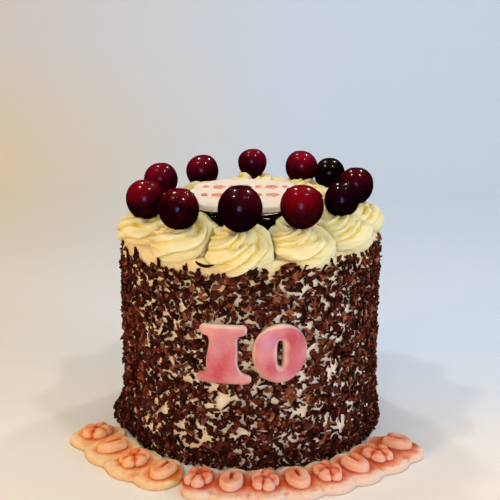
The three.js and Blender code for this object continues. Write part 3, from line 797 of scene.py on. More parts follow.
def crumb_layer():
    """Crumbs fill in between the chips and gather at the foot."""
    random = np.random.default_rng(67)
    angle, z = scatter(3.6, 0.8, 122.0, random, 0.5)
    count = angle.size
    shapes, faces = crumbs(count, random, random.uniform(0.9, 2.4, count))
    spin = random.uniform(0, TURN, count)
    shapes = turned(shapes, spin, random.uniform(0, TURN, count), random.uniform(0, TURN, count))
    placed = on_coat(shapes, angle, z, random.uniform(0.2, 1.2, count))
    return shavings_piece("chocolate_crumbs", placed, faces, random)


# Large shavings that lie by themselves on the bare cream under the swirls: arc length from the
# front, height, length, width, and in degrees its turn, how far it stands on edge, and its bend
LONE_SHAVINGS = [
    (-26.3, 128.6, 13.5, 2.2, 0, 80, 95), (22.5, 128.0, 10.0, 3.4, -3, 15, 25),
    (22.0, 122.8, 12.5, 1.8, 32, 60, 20), (-83.5, 126.4, 9.5, 2.4, 62, 70, 80),
    (-60.0, 124.6, 7.5, 2.8, 98, 20, 35), (-72.9, 120.5, 4.8, 4.0, 20, 0, 15),
    (-46.5, 121.4, 5.6, 3.6, 5, 10, 25), (-40.0, 124.0, 4.0, 3.0, 60, 10, 25),
    (-14.0, 119.5, 7.0, 4.6, 40, 5, 20), (-31.0, 119.0, 8.0, 2.0, -25, 60, 60),
    (70.0, 124.0, 8.0, 2.4, -50, 60, 70), (120.0, 124.5, 10.0, 2.4, 10, 75, 85),
    (175.0, 123.0, 9.0, 3.0, -35, 30, 50), (230.0, 125.0, 11.0, 2.0, 70, 75, 90),
]


def lone_shavings():
    """The large shavings that lie by themselves."""
    random = np.random.default_rng(59)
    arc, z, length, width, turn, edgeways, bend = np.array(LONE_SHAVINGS).T
    thickness = np.full(len(arc), 0.9)
    shapes, faces = curls(len(arc), random, length, width, thickness, np.radians(bend))
    shapes = turned(shapes, np.radians(turn), np.zeros(len(arc)), np.radians(-edgeways))
    placed = on_coat(shapes, FRONT + arc / CAKE_RADIUS, z, np.full(len(arc), 1.0))
    return shavings_piece("chocolate_large_shavings", placed, faces, random, 0.55)


for chip_kind in CHIP_LAYERS:
    chip_layer(chip_kind)
curl_layer()
crumb_layer()
lone_shavings()

# ---------- Cherries ----------

# Each cherry's darkest colour, painted shade at its foot, and its reddest, painted light at its top, its
# height over a ball's, how much narrower it is at its foot, and how many beads of water lie on its crown
CHERRIES = [
    {"tones": ("1C0008", "86001E"), "tall": 1.0, "taper": 0.02, "beads": 9},
    {"tones": ("1A0006", "760012"), "tall": 1.0, "taper": 0.0, "beads": 30},
    {"tones": ("0E0006", "48000E"), "tall": 1.0, "taper": 0.02, "beads": 12},
    {"tones": ("280006", "8E0016"), "tall": 1.0, "taper": 0.03, "beads": 5},
    {"tones": ("0C0008", "26000E"), "tall": 1.1, "taper": -0.04, "beads": 6},
    {"tones": ("0E0008", "4C0014"), "tall": 1.05, "taper": 0.08, "beads": 0},
    {"tones": ("0A0403", "1A0A08"), "tall": 1.0, "taper": 0.0, "beads": 0},
    {"tones": ("24000E", "8C0028"), "tall": 1.0, "taper": 0.04, "beads": 0},
    {"tones": ("22000E", "800026"), "tall": 1.0, "taper": 0.12, "beads": 0},
    {"tones": ("1E000A", "740020"), "tall": 1.0, "taper": 0.06, "beads": 0},
    {"tones": ("20000A", "7C0024"), "tall": 1.0, "taper": 0.04, "beads": 0},
]
BEAD_BELT = (0.66, 0.88)  # where beads lie, as shares of a cherry's rings from its foot to its crown
BEAD_REACH = 1.7  # radius of the widest bead


def cherry_place(index):
    """Middle and radius of a cherry, from its solid, which stands on its lowest point."""
    low, high = (np.array(corner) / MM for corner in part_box(f"cherry_{index + 1:02d}"))
    radius = (high - low)[:2].max() / 2
    middle = (low + high) / 2
    middle[2] = low[2] + radius * CHERRY_TALLNESS
    return middle, radius


def cherry_angle(index):
    """Bearing of a cherry. The count goes on round the ring past the last one."""
    middle, _ = cherry_place(index % CHERRY_COUNT)
    return math.atan2(middle[1], middle[0])


def water_beads(skin, flush_and_lit_top, count, random):
    """Beads of water on a cherry's crown: flat domes at random points of its skin, a grid of rings by
    sides. Gives a pair of points and faces for each, and the flush of the skin under it."""
    rings, sides = skin.shape[:2]
    ring = random.integers(int(BEAD_BELT[0] * rings), int(BEAD_BELT[1] * rings), count)
    side = random.integers(0, sides, count)
    along = skin[ring, (side + 1) % sides] - skin[ring, side - 1]
    up = skin[ring + 1, side] - skin[ring - 1, side]
    along /= np.linalg.norm(along, axis=1)[:, None]
    up /= np.linalg.norm(up, axis=1)[:, None]
    out = np.cross(along, up)
    turn = np.arange(14) / 14 * TURN
    rho = np.array([1.0, 0.93, 0.75, 0.5, 0.2])[:, None]
    beads = []
    for i, size in enumerate(random.uniform(0.55, 1.0, count) ** 2 * BEAD_REACH):
        x = (size * rho * np.cos(turn))[..., None] * along[i]
        y = (size * random.uniform(1.0, 1.3) * rho * np.sin(turn))[..., None] * up[i]
        z = (0.5 * size * np.sqrt(1 - 0.98 * rho**2) - 0.1)[..., None] * out[i]
        beads.append(capped(skin[ring[i], side[i]] + x + y + z))
    return beads, flush_and_lit_top[ring, side]


def cherry(index):
    """A ball, a little taller than wide and narrower at its foot, with shoulders round a stem dimple
    and a shallow suture down one side. Its flush grows towards its top as a painted light from above,
    and towards one cheek at random."""
    rings, sides = 64, 88
    middle, radius = cherry_place(index)
    habit = CHERRIES[index]
    random = np.random.default_rng(71 + index)
    latitude = np.linspace(-0.495, 0.495, rings)[:, None] * math.pi
    around = (np.arange(sides) / sides * TURN)[None]
    lumpy = 1 + 0.014 * np.cos(2 * around + random.uniform(0, TURN))
    out = radius * np.cos(latitude) * (lumpy + habit["taper"] * (np.sin(latitude) - 0.3))
    suture = 0.03 * np.exp(-(angle_from(around, random.uniform(0, TURN)) / 0.16) ** 2)
    out = out * (1 - suture * np.cos(latitude))
    tall = radius * CHERRY_TALLNESS * mix(1.0, habit["tall"], 0.5 + 0.5 * np.sin(latitude))
    tilt = 0.05 * radius * np.cos(around - random.uniform(0, TURN)) * smooth(0.2, 1.3, latitude)
    dimple = 0.09 * tall * np.exp(-(out / (0.2 * radius)) ** 2) * (latitude > 0)
    x = middle[0] + out * np.cos(around)
    y = middle[1] + out * np.sin(around)
    z = middle[2] + tall * np.sin(latitude) - dimple + tilt * np.cos(latitude)
    shape = np.stack([x, y, z], axis=-1)
    points, faces = capped(shape)
    cheek = random.uniform(0, TURN)
    # Painted light: redder towards the top where the lamps fall, darker below as painted shade
    flush_and_lit_top = 0.5 + 0.5 * np.sin(latitude) + 0.18 * np.cos(around - cheek) * np.cos(latitude)
    flush_and_lit_top = smooth(0.48, 1.2, flush_and_lit_top) + 0 * out
    beads, wet_flush = water_beads(shape, flush_and_lit_top, habit["beads"], random)
    points, faces = joined([(points, faces)] + beads)
    flush_and_lit_top = np.append(flush_and_lit_top.ravel(), [flush_and_lit_top[0].mean(), flush_and_lit_top[-1].mean()])
    if beads:
        flush_and_lit_top = np.append(flush_and_lit_top, np.repeat(wet_flush, len(beads[0][0])))
    skin = cherry_skin(index + 1, *habit["tones"])
    name = f"cherry_{index + 1:02d}"
    return mesh_piece(f"{name}_fruit", points, faces, skin, [name], {"flush_and_lit_top": flush_and_lit_top})


for number in range(CHERRY_COUNT):
    cherry(number)

# ---------- Cream swirls ----------

# How each swirl was piped: the bearing where it starts, the turns of its rope, how steeply its
# ridges climb, and how ragged it came out in millimetres
PIPING = [
    {"start": -1.9, "turns": 1.7, "climb": 1.15, "ragged": 0.7},
    {"start": -1.7, "turns": 1.75, "climb": 1.0, "ragged": 0.15},
    {"start": -1.45, "turns": 1.72, "climb": 1.4, "ragged": 0.15},
    {"start": -1.6, "turns": 1.7, "climb": 1.0, "ragged": 0.15},
    {"start": -1.8, "turns": 1.75, "climb": 1.1, "ragged": 0.25},
    {"start": -1.9, "turns": 1.7, "climb": 1.15, "ragged": 0.5},
    {"start": -1.7, "turns": 1.8, "climb": 1.05, "ragged": 0.15},
    {"start": -2.0, "turns": 1.7, "climb": 1.25, "ragged": 0.2},
    {"start": -1.6, "turns": 1.75, "climb": 1.1, "ragged": 0.15},
    {"start": -1.8, "turns": 1.7, "climb": 1.15, "ragged": 0.2},
    {"start": -1.9, "turns": 1.75, "climb": 1.0, "ragged": 0.6},
]
ROPE_RADIUS = 10.6
ROPE_TIP = 0.55  # the rope's radius at its tip, as a share of its full one
ROPE_CORE = 3.0  # radius of the spiral where the rope ends
ROPE_RIDGES = 6
RIDGE_DEPTH = 0.30
RIDGE_CREST = 0.84  # where a ridge is highest, from the foot of its gentle side to that of its steep one
OVERHANG = 3.0  # how much lower the rope lies outside, so that its visible side reaches the lip
SWIRL_VOXEL = 0.45


def rope_path(s, lip, crown, piping, reach):
    """The rope's middle line, radius and heading, from its start at s = 0 to its tip at s = 1. A
    spiral of radius reach less the rope's winds inwards and up to the crown, and falls outwards, so
    that it hangs over the cake's edge at the lip. The rope thins as it winds, with rounded ends."""
    heading = piping["start"] + TURN * piping["turns"] * s
    winding = smooth(0.35, 1.0, s)
    cap = np.sqrt(np.clip(1 - (1 - np.clip(s / 0.05, 0, 1)) ** 2, 0.02, 1))
    tail = np.sqrt(np.clip(1 - np.clip((s - 0.9) / 0.1, 0, 1) ** 2, 0.02, 1))
    rope = ROPE_RADIUS * mix(1.0, ROPE_TIP, winding) * cap * tail
    path = mix(reach - ROPE_RADIUS, ROPE_CORE, winding)
    x = path * np.cos(heading)
    y = path * np.sin(heading)
    fall = (CAKE_HEIGHT - lip + OVERHANG) / 2
    z = (CAKE_HEIGHT + lip - OVERHANG) / 2 + ROPE_RADIUS - fall * x / (reach - ROPE_RADIUS)
    z = z + (crown - CAKE_HEIGHT - ROPE_RADIUS - 1.0) * smooth(0.3, 0.9, s)
    return np.stack([x, y, z], axis=-1)[:, 0], rope, heading


def star_section(heading, phi, piping):
    """The rope's reach at phi round its section, as a share of its radius: a saw-tooth of ridges, each
    steep on its lower side and finely lined by the nozzle, that turns as the rope advances."""
    sway = 0.3 * np.sin(1.9 * heading + phi + piping["start"] * 9)
    sway = sway + 0.16 * np.sin(4.3 * heading + 2 * phi)
    step = ROPE_RIDGES / TURN * (phi + piping["climb"] * (heading - piping["start"])) + sway
    ridge = np.floor(step)
    step = step - ridge
    tooth = np.where(step < RIDGE_CREST, step / RIDGE_CREST, (1 - step) / (1 - RIDGE_CREST)) ** 0.8
    lines = 0.015 * np.sin(TURN * (3.5 * step + 0.4 * np.sin(3.1 * heading + ridge)))
    depth = RIDGE_DEPTH + 0.09 * np.sin(ridge * 2.4 + 1.7 * heading)
    return 1 + lines - depth * (1 - tooth)


def rope_of_cream(centre, bearing, lip, crown, piping, reach):
    """A ring of the star section round each station of the path, square to it. The whole spiral is
    turned to its bearing and set on its centre."""
    stations, section = 190, 96
    s = np.linspace(0, 1, stations)[:, None]
    middle, rope, heading = rope_path(s, lip, crown, piping, reach)
    forward = np.gradient(middle, axis=0)
    forward /= np.linalg.norm(forward, axis=1)[:, None]
    outward = np.cross(forward, (0, 0, 1))
    outward /= np.linalg.norm(outward, axis=1)[:, None]
    upward = np.cross(outward, forward)
    phi = (np.arange(section) / section * TURN)[None]
    distance = rope * star_section(heading, phi, piping)
    ring = middle[:, None] + distance[..., None] * (
        np.cos(phi)[..., None] * outward[:, None] - np.sin(phi)[..., None] * upward[:, None])
    out_x, out_y = math.cos(bearing), math.sin(bearing)
    world_x = centre[0] + ring[..., 0] * out_x - ring[..., 1] * out_y
    world_y = centre[1] + ring[..., 0] * out_y + ring[..., 1] * out_x
    return capped(np.stack([world_x, world_y, ring[..., 2]], axis=-1))


def fused(name, points, faces, voxel):
    """Joins what overlaps into one skin, by a voxel remesh, and gives back its points and quads."""
    mesh = bpy.data.meshes.new(name)
    mesh.from_pydata(points * MM, [], faces)
    rope = linked(name, mesh)
    remesh = rope.modifiers.new("fuse", "REMESH")
    remesh.mode = "VOXEL"
    remesh.voxel_size = voxel * MM
    remesh.adaptivity = 0
    whole = rope.evaluated_get(bpy.context.evaluated_depsgraph_get()).to_mesh()
    made = np.empty(len(whole.vertices) * 3)
    whole.vertices.foreach_get("co", made)
    quads = np.empty(len(whole.loops), int)
    whole.loops.foreach_get("vertex_index", quads)
    bpy.data.objects.remove(rope)
    bpy.data.meshes.remove(mesh)
    return made.reshape(-1, 3) / MM, quads.reshape(-1, 4)


def neighbour_pairs(quads):
    """Both ends of every edge, each edge once per direction."""
    pairs = np.stack([quads, np.roll(quads, -1, axis=1)], axis=-1).reshape(-1, 2)
    return np.concatenate([pairs, pairs[:, ::-1]])


def averaged(values, pairs, times, share=0.5):
    """Moves each point's value towards the mean of its neighbours, a number of times."""
    values = values.reshape(len(values), -1)
    here, there = pairs.T
    count = np.bincount(here, minlength=len(values))
    for _ in range(times):
        total = [np.bincount(here, column[there], len(values)) for column in values.T]
        values = values + share * (np.stack(total, -1) / count[:, None] - values)
    return values


def point_normals(points, quads):
    """Each point's normal, from the quads round it."""
    a, b, c, d = (points[quads[:, i]] for i in range(4))
    face_normals = np.cross(c - a, d - b)
    corners = quads.ravel()
    normals = [np.bincount(corners, np.repeat(column, 4), len(points)) for column in face_normals.T]
    normals = np.stack(normals, -1)
    return normals / np.maximum(np.linalg.norm(normals, axis=1)[:, None], 1e-9)


def swirl_space(index):
    """Bearings of a swirl's border with the one before it, of its cherry, and of its border with the
    next one."""
    middle = cherry_angle(index)
    before = middle + angle_from(cherry_angle(index - 1), middle) / 2
    after = middle + angle_from(cherry_angle(index + 1), middle) / 2
    return before, middle, after


def held_in_space(points, before, middle, after):
    """Holds points between their borders and outside the filling. Past SWIRL_FREE of the way to a
    border they are pressed together, as 1 - SWIRL_FREE times a tanh that never reaches it. Beside the
    cherry the top sinks, less and less towards the back, where it rises instead."""
    radius = np.hypot(points[:, 0], points[:, 1])
    away = angle_from(np.arctan2(points[:, 1], points[:, 0]), middle)
    room = SWIRL_ROOM["neighbour"] / radius
    limit = np.where(away < 0, before - middle + room, after - middle - room)
    share = away / limit
    squeezed = SWIRL_FREE + (1 - SWIRL_FREE) * np.tanh((share - SWIRL_FREE) / (1 - SWIRL_FREE))
    share = np.where(share < SWIRL_FREE, share, squeezed)
    radius = np.maximum(radius, FILLING_RADIUS + SWIRL_ROOM["filling"])
    dip = mix(SWIRL_DIP["front"], SWIRL_DIP["back"], smooth(0.2, 0.8, math.sin(middle)))
    dip = dip * smooth(0, 0.65, share) * smooth(CAKE_HEIGHT + 2, CAKE_HEIGHT + 14, points[:, 2])
    return polar(middle + share * limit, radius, points[:, 2] - dip)


def under_cherry(points, index):
    """Moves points that lie inside a cherry straight out to just off its skin."""
    fruit, fruit_radius = cherry_place(index)
    offset = points - fruit
    distance = np.linalg.norm(offset, axis=1)
    pressed = distance < fruit_radius + SWIRL_ROOM["cherry"]
    offset[pressed] *= ((fruit_radius + SWIRL_ROOM["cherry"]) / distance[pressed])[:, None]
    return fruit + offset


def swirl(index):
    """A rope of cream held in its space and under its cherry, with lumps where it came out ragged.
    Painted shade marks its folds, where it lies below the mean of the surface round it. The wax on the
    cherries is too dull to mirror it."""
    name = f"swirl_{index + 1:02d}"
    before, middle, after = swirl_space(index)
    bearing = middle + SWIRL_CROWD * ((before + after) / 2 - middle)
    centre = (SWIRL_RING * math.cos(bearing), SWIRL_RING * math.sin(bearing))
    lip, crown = (corner[2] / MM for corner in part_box(name))
    reach = SWIRL_REACH * (1 + 0.05 * float(smooth(0.6, 0.85, after - before)))
    points, faces = rope_of_cream(centre, bearing, lip, crown, PIPING[index], reach)
    points = held_in_space(points, before, middle, after)
    points, quads = fused(name, points, faces, SWIRL_VOXEL)
    pairs = neighbour_pairs(quads)
    lumps = np.minimum(0.4, relief(points, 8.5, 101 + index)) * PIPING[index]["ragged"]
    points = points + point_normals(points, quads) * lumps[:, None]
    points = averaged(under_cherry(points, index), pairs, 1, 0.3)
    normals = point_normals(points, quads)
    # Painted shade: the deeper the hollow below the mean of the surface round it, the deeper the yellow
    # painted there
    hollow = np.einsum("ij,ij->i", averaged(points, pairs, 30, 0.6) - points, normals)
    marks = {"fold_shade": smooth(-0.35, 0.85, averaged(hollow, pairs, 3)[:, 0])}
    return mesh_piece(f"{name}_rope", points, quads.tolist(), PIPED_CREAM, [name], marks, mirrored=False)


for number in range(CHERRY_COUNT):
    swirl(number)

# ---------- Filling and the plaque on top ----------


def dark_filling():
    """A low mound of rings with a rounded shoulder, and a surface stirred by a spoon."""
    low, high = (corner[2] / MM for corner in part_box("dark_filling"))
    sides = 160
    around = (np.arange(sides) / sides * TURN)[None]
    shoulder = np.linspace(0, math.pi / 2, 14)[:, None]
    radius = np.concatenate([
        np.full((12, 1), FILLING_RADIUS),
        FILLING_RADIUS - FILLING_SHOULDER["inwards"] * (1 - np.cos(shoulder)),
        np.linspace(FILLING_RADIUS - 5.5, 1.0, 24)[:, None],
    ])
    z = np.concatenate([
        np.linspace(low, high - FILLING_SHOULDER["up"], 12)[:, None],
        high - FILLING_SHOULDER["up"] * (1 - np.sin(shoulder)),
        np.full((24, 1), high),
    ])
    shape = polar(around, radius, z)
    stirred = relief(shape, 7, 81)
    shape[..., :2] *= 1 + (0.35 * stirred - 0.35)[..., None] / FILLING_RADIUS
    shape[..., 2] += np.minimum(0, 0.3 * stirred - 0.3) * smooth(low + 1, low + 4, z)
    points, faces = capped(shape)
    return mesh_piece("filling_mound", points, faces, FILLING, ["dark_filling"])


TOP_PLAQUE = {"x": -3, "y": -4, "half_x": 37, "half_y": 43, "squareness": 2.6, "turn": math.radians(-5)}
TOP_ROUNDING = 1.9
TOP_SCALLOPS = 12
TOP_SCALLOP_DEPTH = 1.4


def top_edge(around):
    """Distance of the top plaque's rim from its middle: a superellipse with shallow scallops."""
    along = np.abs(np.cos(around) / TOP_PLAQUE["half_x"]) ** TOP_PLAQUE["squareness"]
    across = np.abs(np.sin(around) / TOP_PLAQUE["half_y"]) ** TOP_PLAQUE["squareness"]
    ripple = TOP_SCALLOP_DEPTH * (1 - np.abs(np.cos(TOP_SCALLOPS / 2 * around)))
    return (along + across) ** (-1 / TOP_PLAQUE["squareness"]) - ripple


def top_plaque():
    """Rings that shrink from the rim to the middle, the first ones up two quarter rounds."""
    low, high = (corner[2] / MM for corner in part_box("top_plaque"))
    sides = 288
    around = (np.arange(sides) / sides * TURN)[None]
    turn_up = np.linspace(-math.pi / 2, math.pi / 2, 13)[:, None]
    inset = np.concatenate([TOP_ROUNDING * (1 - np.cos(turn_up)), np.linspace(2.6, 36, 30)[:, None]])
    lower = low + TOP_ROUNDING * (1 + np.sin(turn_up))
    upper = high - TOP_ROUNDING * (1 - np.sin(turn_up))
    z = np.concatenate([np.where(turn_up < 0, lower, upper), np.full((30, 1), high)])
    edge = top_edge(around) * (1 - inset / 38)
    shape = np.stack([
        TOP_PLAQUE["x"] + edge * np.cos(around + TOP_PLAQUE["turn"]),
        TOP_PLAQUE["y"] + edge * np.sin(around + TOP_PLAQUE["turn"]),
        z + 0 * edge,
    ], axis=-1)
    top = z > high - 0.5
    shape[..., 2] += 0.2 * relief(shape, 12, 83) * top - 0.2 * top
    points, faces = capped(shape)
    dust = np.clip(0.12 * (1 - smooth(low, high, points[:, 2])) + 0.02, 0, 1)
    name = "top_plaque"
    marks = {"dust": dust}
    return mesh_piece(f"{name}_fondant", points, faces, WHITE_FONDANT, [name], marks, mirrored=False)


def top_blossoms():
    """Two rows of coral blossoms lie on the top plaque, every other one a dot. Each is a dome of
    falling rings, as high as the root of 1 - rho^4. A blossom's edge has five petals, and its middle
    is sunk."""
    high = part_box("top_plaque")[1][2] / MM
    rings, sides = 7, 30
    around = (np.arange(sides) / sides * TURN)[None, None]
    rho = np.linspace(1, 0.12, rings)[None, :, None]
    column, row = np.meshgrid(np.arange(-3, 4), (10.0, -14.0))
    x = (TOP_PLAQUE["x"] + 8.6 * column).ravel()[:, None, None]
    y = (row + 0.08 * column).ravel()[:, None, None]
    blossom = (column.ravel() % 2 == 0)[:, None, None]
    reach = np.where(blossom, 3.7 + 1.3 * np.abs(np.cos(2.5 * around)), 2.3)
    tall = np.where(blossom, 1.1, 1.3) * (1 - rho**4) ** 0.5 - 0.5 * blossom * np.exp(-(rho / 0.3) ** 2)
    radius = reach * rho
    z = high - 0.45 + tall + 0 * radius
    shapes = np.stack([x + radius * np.cos(around), y + radius * np.sin(around), z], axis=-1)
    points, faces = joined([capped(shape) for shape in shapes])
    dust = np.full(len(points), 0.42)
    return mesh_piece("top_plaque_blossoms", points, faces, ROSE_CORAL_FONDANT, marks={"dust": dust})


dark_filling()
top_plaque()
top_blossoms()

# ---------- Plaques at the foot and their ornaments ----------


def plaque_place(plaque, u):
    """Bearing, middle radius and half width of a plaque at u, 0 to 1 along it."""
    start, end = np.radians(plaque["degrees"])
    inner, outer = plaque["radii"]
    flare = plaque["splay"][0] * (1 - smooth(0, 0.3, u)) + plaque["splay"][1] * smooth(0.7, 1, u)
    return mix(start, end, u), (inner + outer + flare) / 2, (outer + flare - inner) / 2


def ornament_spots():
    """Bearing and ring of every ornament, with its kind."""
    spots = []
    for plaque in PLAQUES:
        for i in range(plaque["scallops"]):
            bearing, ring, _ = plaque_place(plaque, (i + 0.5) / plaque["scallops"])
            kind = ("blossom", "heart")[len(spots) % 2]
            spots.append((float(bearing), float(ring), kind))
    return spots


def plaque_fondant(plaque):
    """A band of rows along by columns across. Both long edges are scalloped, and the face falls off in
    a quarter round towards them. Short clefts are pressed in between the scallops, and strokes of the
    modelling tool cross the rim. Petal dust lies round the ornaments and in the clefts."""
    scallops = plaque["scallops"]
    u = np.linspace(0, 1, scallops * 24 + 1)[:, None]
    v = closer_at_ends(41)[None]
    bearing, middle, half = plaque_place(plaque, u)
    rounding = np.sqrt(np.maximum(0.05, 1 - np.abs(2 * u - 1) ** (scallops * 1.7)))
    ripple = PLAQUE_SCALLOP * np.abs(np.sin(scallops * math.pi * u))
    reach = half * rounding + ripple
    radius = middle + reach * v
    start, stop = np.radians(plaque["degrees"])
    end = np.minimum(u, 1 - u) * (stop - start) * middle
    depth = np.minimum((1 - np.abs(v)) * reach, end + 0.35)
    rise = pillow(depth, 1.8)
    flat = polar(bearing, radius, 0 * radius)
    sway = 0.3 * relief(flat, 14, 91)
    clefts = np.exp(-(np.sin(scallops * math.pi * u) / 0.2) ** 2) * smooth(0.3, 0.9, np.abs(v))
    along_alone = polar(scallops * u * 2.6, 6.0, 0 * v)
    strokes = 0.5 * relief(along_alone, 5, 93) * smooth(0.5, 0.9, np.abs(v))
    uneven = np.minimum(0.2, sway + strokes) - 0.7 * clefts
    face = flat.copy()
    face[..., 2] = mix(PLAQUE_RIM, PLAQUE_THICKNESS - 0.25, rise) + uneven * rise
    dust = np.zeros_like(radius)
    for spot_bearing, ring, _ in ornament_spots():
        away = flat - polar(spot_bearing, ring, 0)
        distance = np.linalg.norm(away, axis=-1)
        dust = np.maximum(dust, 1 - smooth(7.0, plaque["dusted_to"], distance))
    dust = plaque["dusting"] * dust + plaque["flushed_end"] * smooth(0.6, 0.9, u)
    dust = dust * rise * (1 - smooth(0.7, 0.96, np.abs(v))) + (0.12 + 0.25 * clefts) * rise
    points, faces = plate(face, flat)
    dust = np.concatenate([dust.ravel(), np.zeros(dust.size)])
    name = plaque["name"]
    fondant = PEACH_FONDANT if name == "plaque_left" else ROSE_FONDANT
    return mesh_piece(f"{name}_fondant", points, faces, fondant, [name], {"dust": dust})


def blossom_form(rho, around):
    """A blossom at rho, 0 to 1 of the way to its outline, which has five round petals that meet in
    clefts. Gives its outline, its height as a domed root of 1 - rho^7, sunk in the clefts and in the
    middle, and the hollows where dust gathers."""
    petal = np.abs(np.cos(2.5 * around)) ** 0.55
    outline = 0.74 + 0.28 * petal
    dome = (1 - rho**7) ** 0.5 * (0.52 + 0.48 * mix(1, petal, smooth(0.1, 0.7, rho)))
    dome = dome - 0.55 * np.exp(-(rho / 0.22) ** 2)
    hollow = (1 - petal) * smooth(0.15, 0.6, rho) * 0.9 + np.exp(-(rho / 0.3) ** 2)
    return outline, dome, hollow


def heart_form(rho, around):
    """A heart, given as a blossom is: an oval with a notch at one end and a point at the other, and a
    cushion sunk along a line from the notch to past its middle."""
    side = np.sin(around)
    outline = 0.86 + 0.13 * side**2 - 0.3 * np.maximum(0, side) ** 10
    outline = outline + 0.06 * np.maximum(0, -side) ** 6
    crease = np.exp(-(rho * np.cos(around) / 0.15) ** 2) * smooth(-0.6, 0.2, rho * side)
    dome = (1 - rho**7) ** 0.5 * (1 - 0.6 * crease)
    return outline, dome, crease


def ornament(index, bearing, ring, kind):
    """Rings that shrink from the outline to the middle, up a short wall and over the ornament's form,
    turned to its bearing on the plaque."""
    rings, sides = 26, 120
    around = (np.arange(sides) / sides * TURN)[None]
    rho = np.concatenate([[1.0, 1.0], np.cos(np.linspace(0, math.pi / 2, rings)[1:] * 0.98)])[:, None]
    form = {"blossom": blossom_form, "heart": heart_form}[kind]
    outline, dome, hollow = form(rho, around)
    forward = -ORNAMENT["along"] * rho * outline * np.sin(around)
    sideways = ORNAMENT["across"] * rho * outline * np.cos(around)
    height = np.maximum(ORNAMENT["height"] * np.clip(dome, 0, 1), ORNAMENT["wall"])
    height[0] = -ORNAMENT["sunk"]
    name = f"ornament_{index + 1:02d}"
    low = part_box(name)[0][2] / MM
    c, s = math.cos(bearing), math.sin(bearing)
    x = ring * c + forward * c - sideways * s
    y = ring * s + forward * s + sideways * c
    points, faces = capped(np.stack([x, y, low + height], axis=-1))
    steep = 1 - smooth(0.02, 0.2, 1 - rho)
    dust = np.clip(0.3 + 0.85 * hollow - 0.5 * steep, 0, 1)
    dust = np.append(dust.ravel(), [0, dust[-1].mean()])
    fondant = CORAL_FONDANT if index < PLAQUES[0]["scallops"] else ROSE_CORAL_FONDANT
    return mesh_piece(f"{name}_{kind}", points, faces, fondant, [name], {"dust": dust})


for one_plaque in PLAQUES:
    plaque_fondant(one_plaque)
for number, (spot, ring_radius, shape_kind) in enumerate(ornament_spots()):
    ornament(number, spot, ring_radius, shape_kind)

# ---------- Room ----------


def swept(near, far, radius, top, columns):
    """A line that runs flat from near to far, turns up in a quarter round and rises to the top. Gives
    the distances along the floor and the heights."""
    turn_up = np.linspace(0, math.pi / 2, 16)[1:]
    flat = np.linspace(near, far, columns)
    place = np.concatenate([flat, far + radius * np.sin(turn_up), np.full(4, far + radius)])
    height = np.concatenate([0 * flat, radius * (1 - np.cos(turn_up)), np.linspace(radius + 100, top, 4)])
    return place, height


def painted_wall():
    """Matt wall paint on a pale table. Its colour carries painted light: a warm lamplight tint at its
    left that gives way higher up, and a blue daylight tint at its right.
    """
    paint = bpy.data.materials.new("pale painted wall")
    paint.use_nodes = True
    tree = paint.node_tree
    place = add(tree, "ShaderNodeSeparateXYZ", {0: add(tree, "ShaderNodeTexCoord").outputs["Object"]})
    aside = spread(tree, place.outputs["X"], -0.4, 0.05)
    # Painted light: warm at the left and low down, blue at the right
    warm = blend(tree, spread(tree, place.outputs["Z"], 0.04, 0.2), "D8CCB0", "CCD0D6")
    wall = blend(tree, aside, warm, "C2D6EC")
    foot = blend(tree, aside, "E4DABE", "D8EAFF")
    risen = blend(tree, spread(tree, place.outputs["Y"], 0.15, 0.6), foot, wall)
    colour = blend(tree, spread(tree, place.outputs["Y"], -0.15, 0.12), "F8F4EA", risen)
    join(tree, tree.nodes["Principled BSDF"], Base_Color=colour, Roughness=0.9)
    return paint


def backdrop():
    """A pale floor that curves up into walls all round, the nearest behind the cake: one line of
    depth and height, swept across along another. Glossy skins don't mirror it."""
    back, back_rise = swept(0, 450, 700, 3600, 8)
    front, front_rise = swept(0, 1700, 800, 2600, 8)
    side, side_rise = swept(0, 2200, 800, 2600, 8)
    depth = np.concatenate([-front[:0:-1], back])
    depth_rise = np.concatenate([front_rise[:0:-1], back_rise])
    across = np.concatenate([-side[:0:-1], side])
    across_rise = np.concatenate([side_rise[:0:-1], side_rise])
    x, y = np.meshgrid(across, depth)
    z = across_rise[None] + depth_rise[:, None]
    row, column = np.mgrid[0:len(depth) - 1, 0:len(across) - 1]
    a = (row * len(across) + column).ravel()
    mesh = bpy.data.meshes.new("backdrop")
    faces = np.stack([a, a + 1, a + 1 + len(across), a + len(across)], axis=-1)
    mesh.from_pydata(np.stack([x, y, z], axis=-1).reshape(-1, 3) * MM, [], faces.tolist())
    mesh.shade_smooth()
    mesh.materials.append(painted_wall())
    made = linked("backdrop", mesh)
    made.visible_glossy = False


def area_light(name, place, aim, size, power, colour):
    """A round lamp, with its place, aim and size in metres and its power in watts."""
    light = bpy.data.lights.new(name, "AREA")
    light.shape = "DISK"
    light.size = size
    light.energy = power
    light.color = tone(colour)[:3]
    lamp = linked(name, light)
    lamp.location = place
    lamp.rotation_euler = (Vector(aim) - Vector(place)).to_track_quat("-Z", "Y").to_euler()
    return lamp


def soft_light(name, place, size, power, colour, aim=(0, 0, 0.08)):
    """A large soft light that glossy skins don't mirror, as a lamp behind a diffuser."""
    lamp = area_light(name, place, aim, size, power, colour)
    lamp.visible_glossy = False


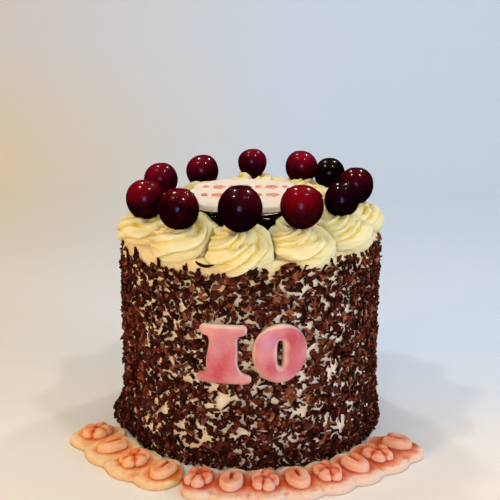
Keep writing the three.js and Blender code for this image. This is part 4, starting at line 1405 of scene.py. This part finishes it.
# The camera's distance in front of the cake's axis and its height, in metres, how many degrees it
# looks down, and its focal length over the width of the picture
CAMERA = {"distance": 0.5791, "height": 0.2797, "down": 15.91, "focal": 913.7 / 500}


def camera():
    """The camera stands a little above the cake's top and looks down at its side."""
    view = bpy.data.cameras.new("camera")
    view.sensor_width = 36
    view.lens = CAMERA["focal"] * view.sensor_width
    eye = linked("camera", view)
    eye.location = (0, -CAMERA["distance"], CAMERA["height"])
    eye.rotation_euler = (math.radians(90 - CAMERA["down"]), 0, 0)
    bpy.context.scene.camera = eye


# Four ceiling spots, each a distance in metres from the cake's top, along its own direction
CAKE_TOP = (0, 0, 0.15)
SPOT_DISTANCE = 1.6
SPOT_WAYS = [(-0.275, 0.469, 0.84), (0.42, 0.47, 0.778), (-0.43, -0.125, 0.895), (0.381, -0.266, 0.886)]

backdrop()
camera()
soft_light("warm_left", (-1.5, -0.9, 0.75), 0.6, 11.0, "FFBC5C")
soft_light("cool_right", (1.6, -0.85, 0.5), 0.6, 13.6, "D4DEFF")
soft_light("front_fill", (-0.25, -1.8, 0.95), 1.0, 6.0, "FFF8F0")
soft_light("wall_wash", (0, 0.2, 2.2), 1.4, 4, "FFFFFF", (0, 1.3, 0.6))
window = area_light("window", (-0.12, -1.9, 0.5), (0, 0, 0.1), 0.4, 4.6, "A0B0F0")
window.data.shape = "RECTANGLE"
window.data.size_y = 0.75
window.visible_diffuse = False
window_glow = area_light("window_glow", (-0.12, -1.95, 0.5), (0, 0, 0.1), 1.1, 4.5, "8C90E0")
window_glow.visible_diffuse = False
for way in SPOT_WAYS:
    place = Vector(CAKE_TOP) + SPOT_DISTANCE * Vector(way)
    area_light("ceiling_spot", place, CAKE_TOP, 0.12, 4.2, "FFF1DC")

world = bpy.data.worlds.new("soft room")
world.use_nodes = True
world.node_tree.nodes["Background"].inputs["Color"].default_value = tone("DDE2EA")
world.node_tree.nodes["Background"].inputs["Strength"].default_value = 0.14
world.cycles_visibility.glossy = False
bpy.context.scene.world = world
bpy.context.scene.view_settings.view_transform = "Standard"
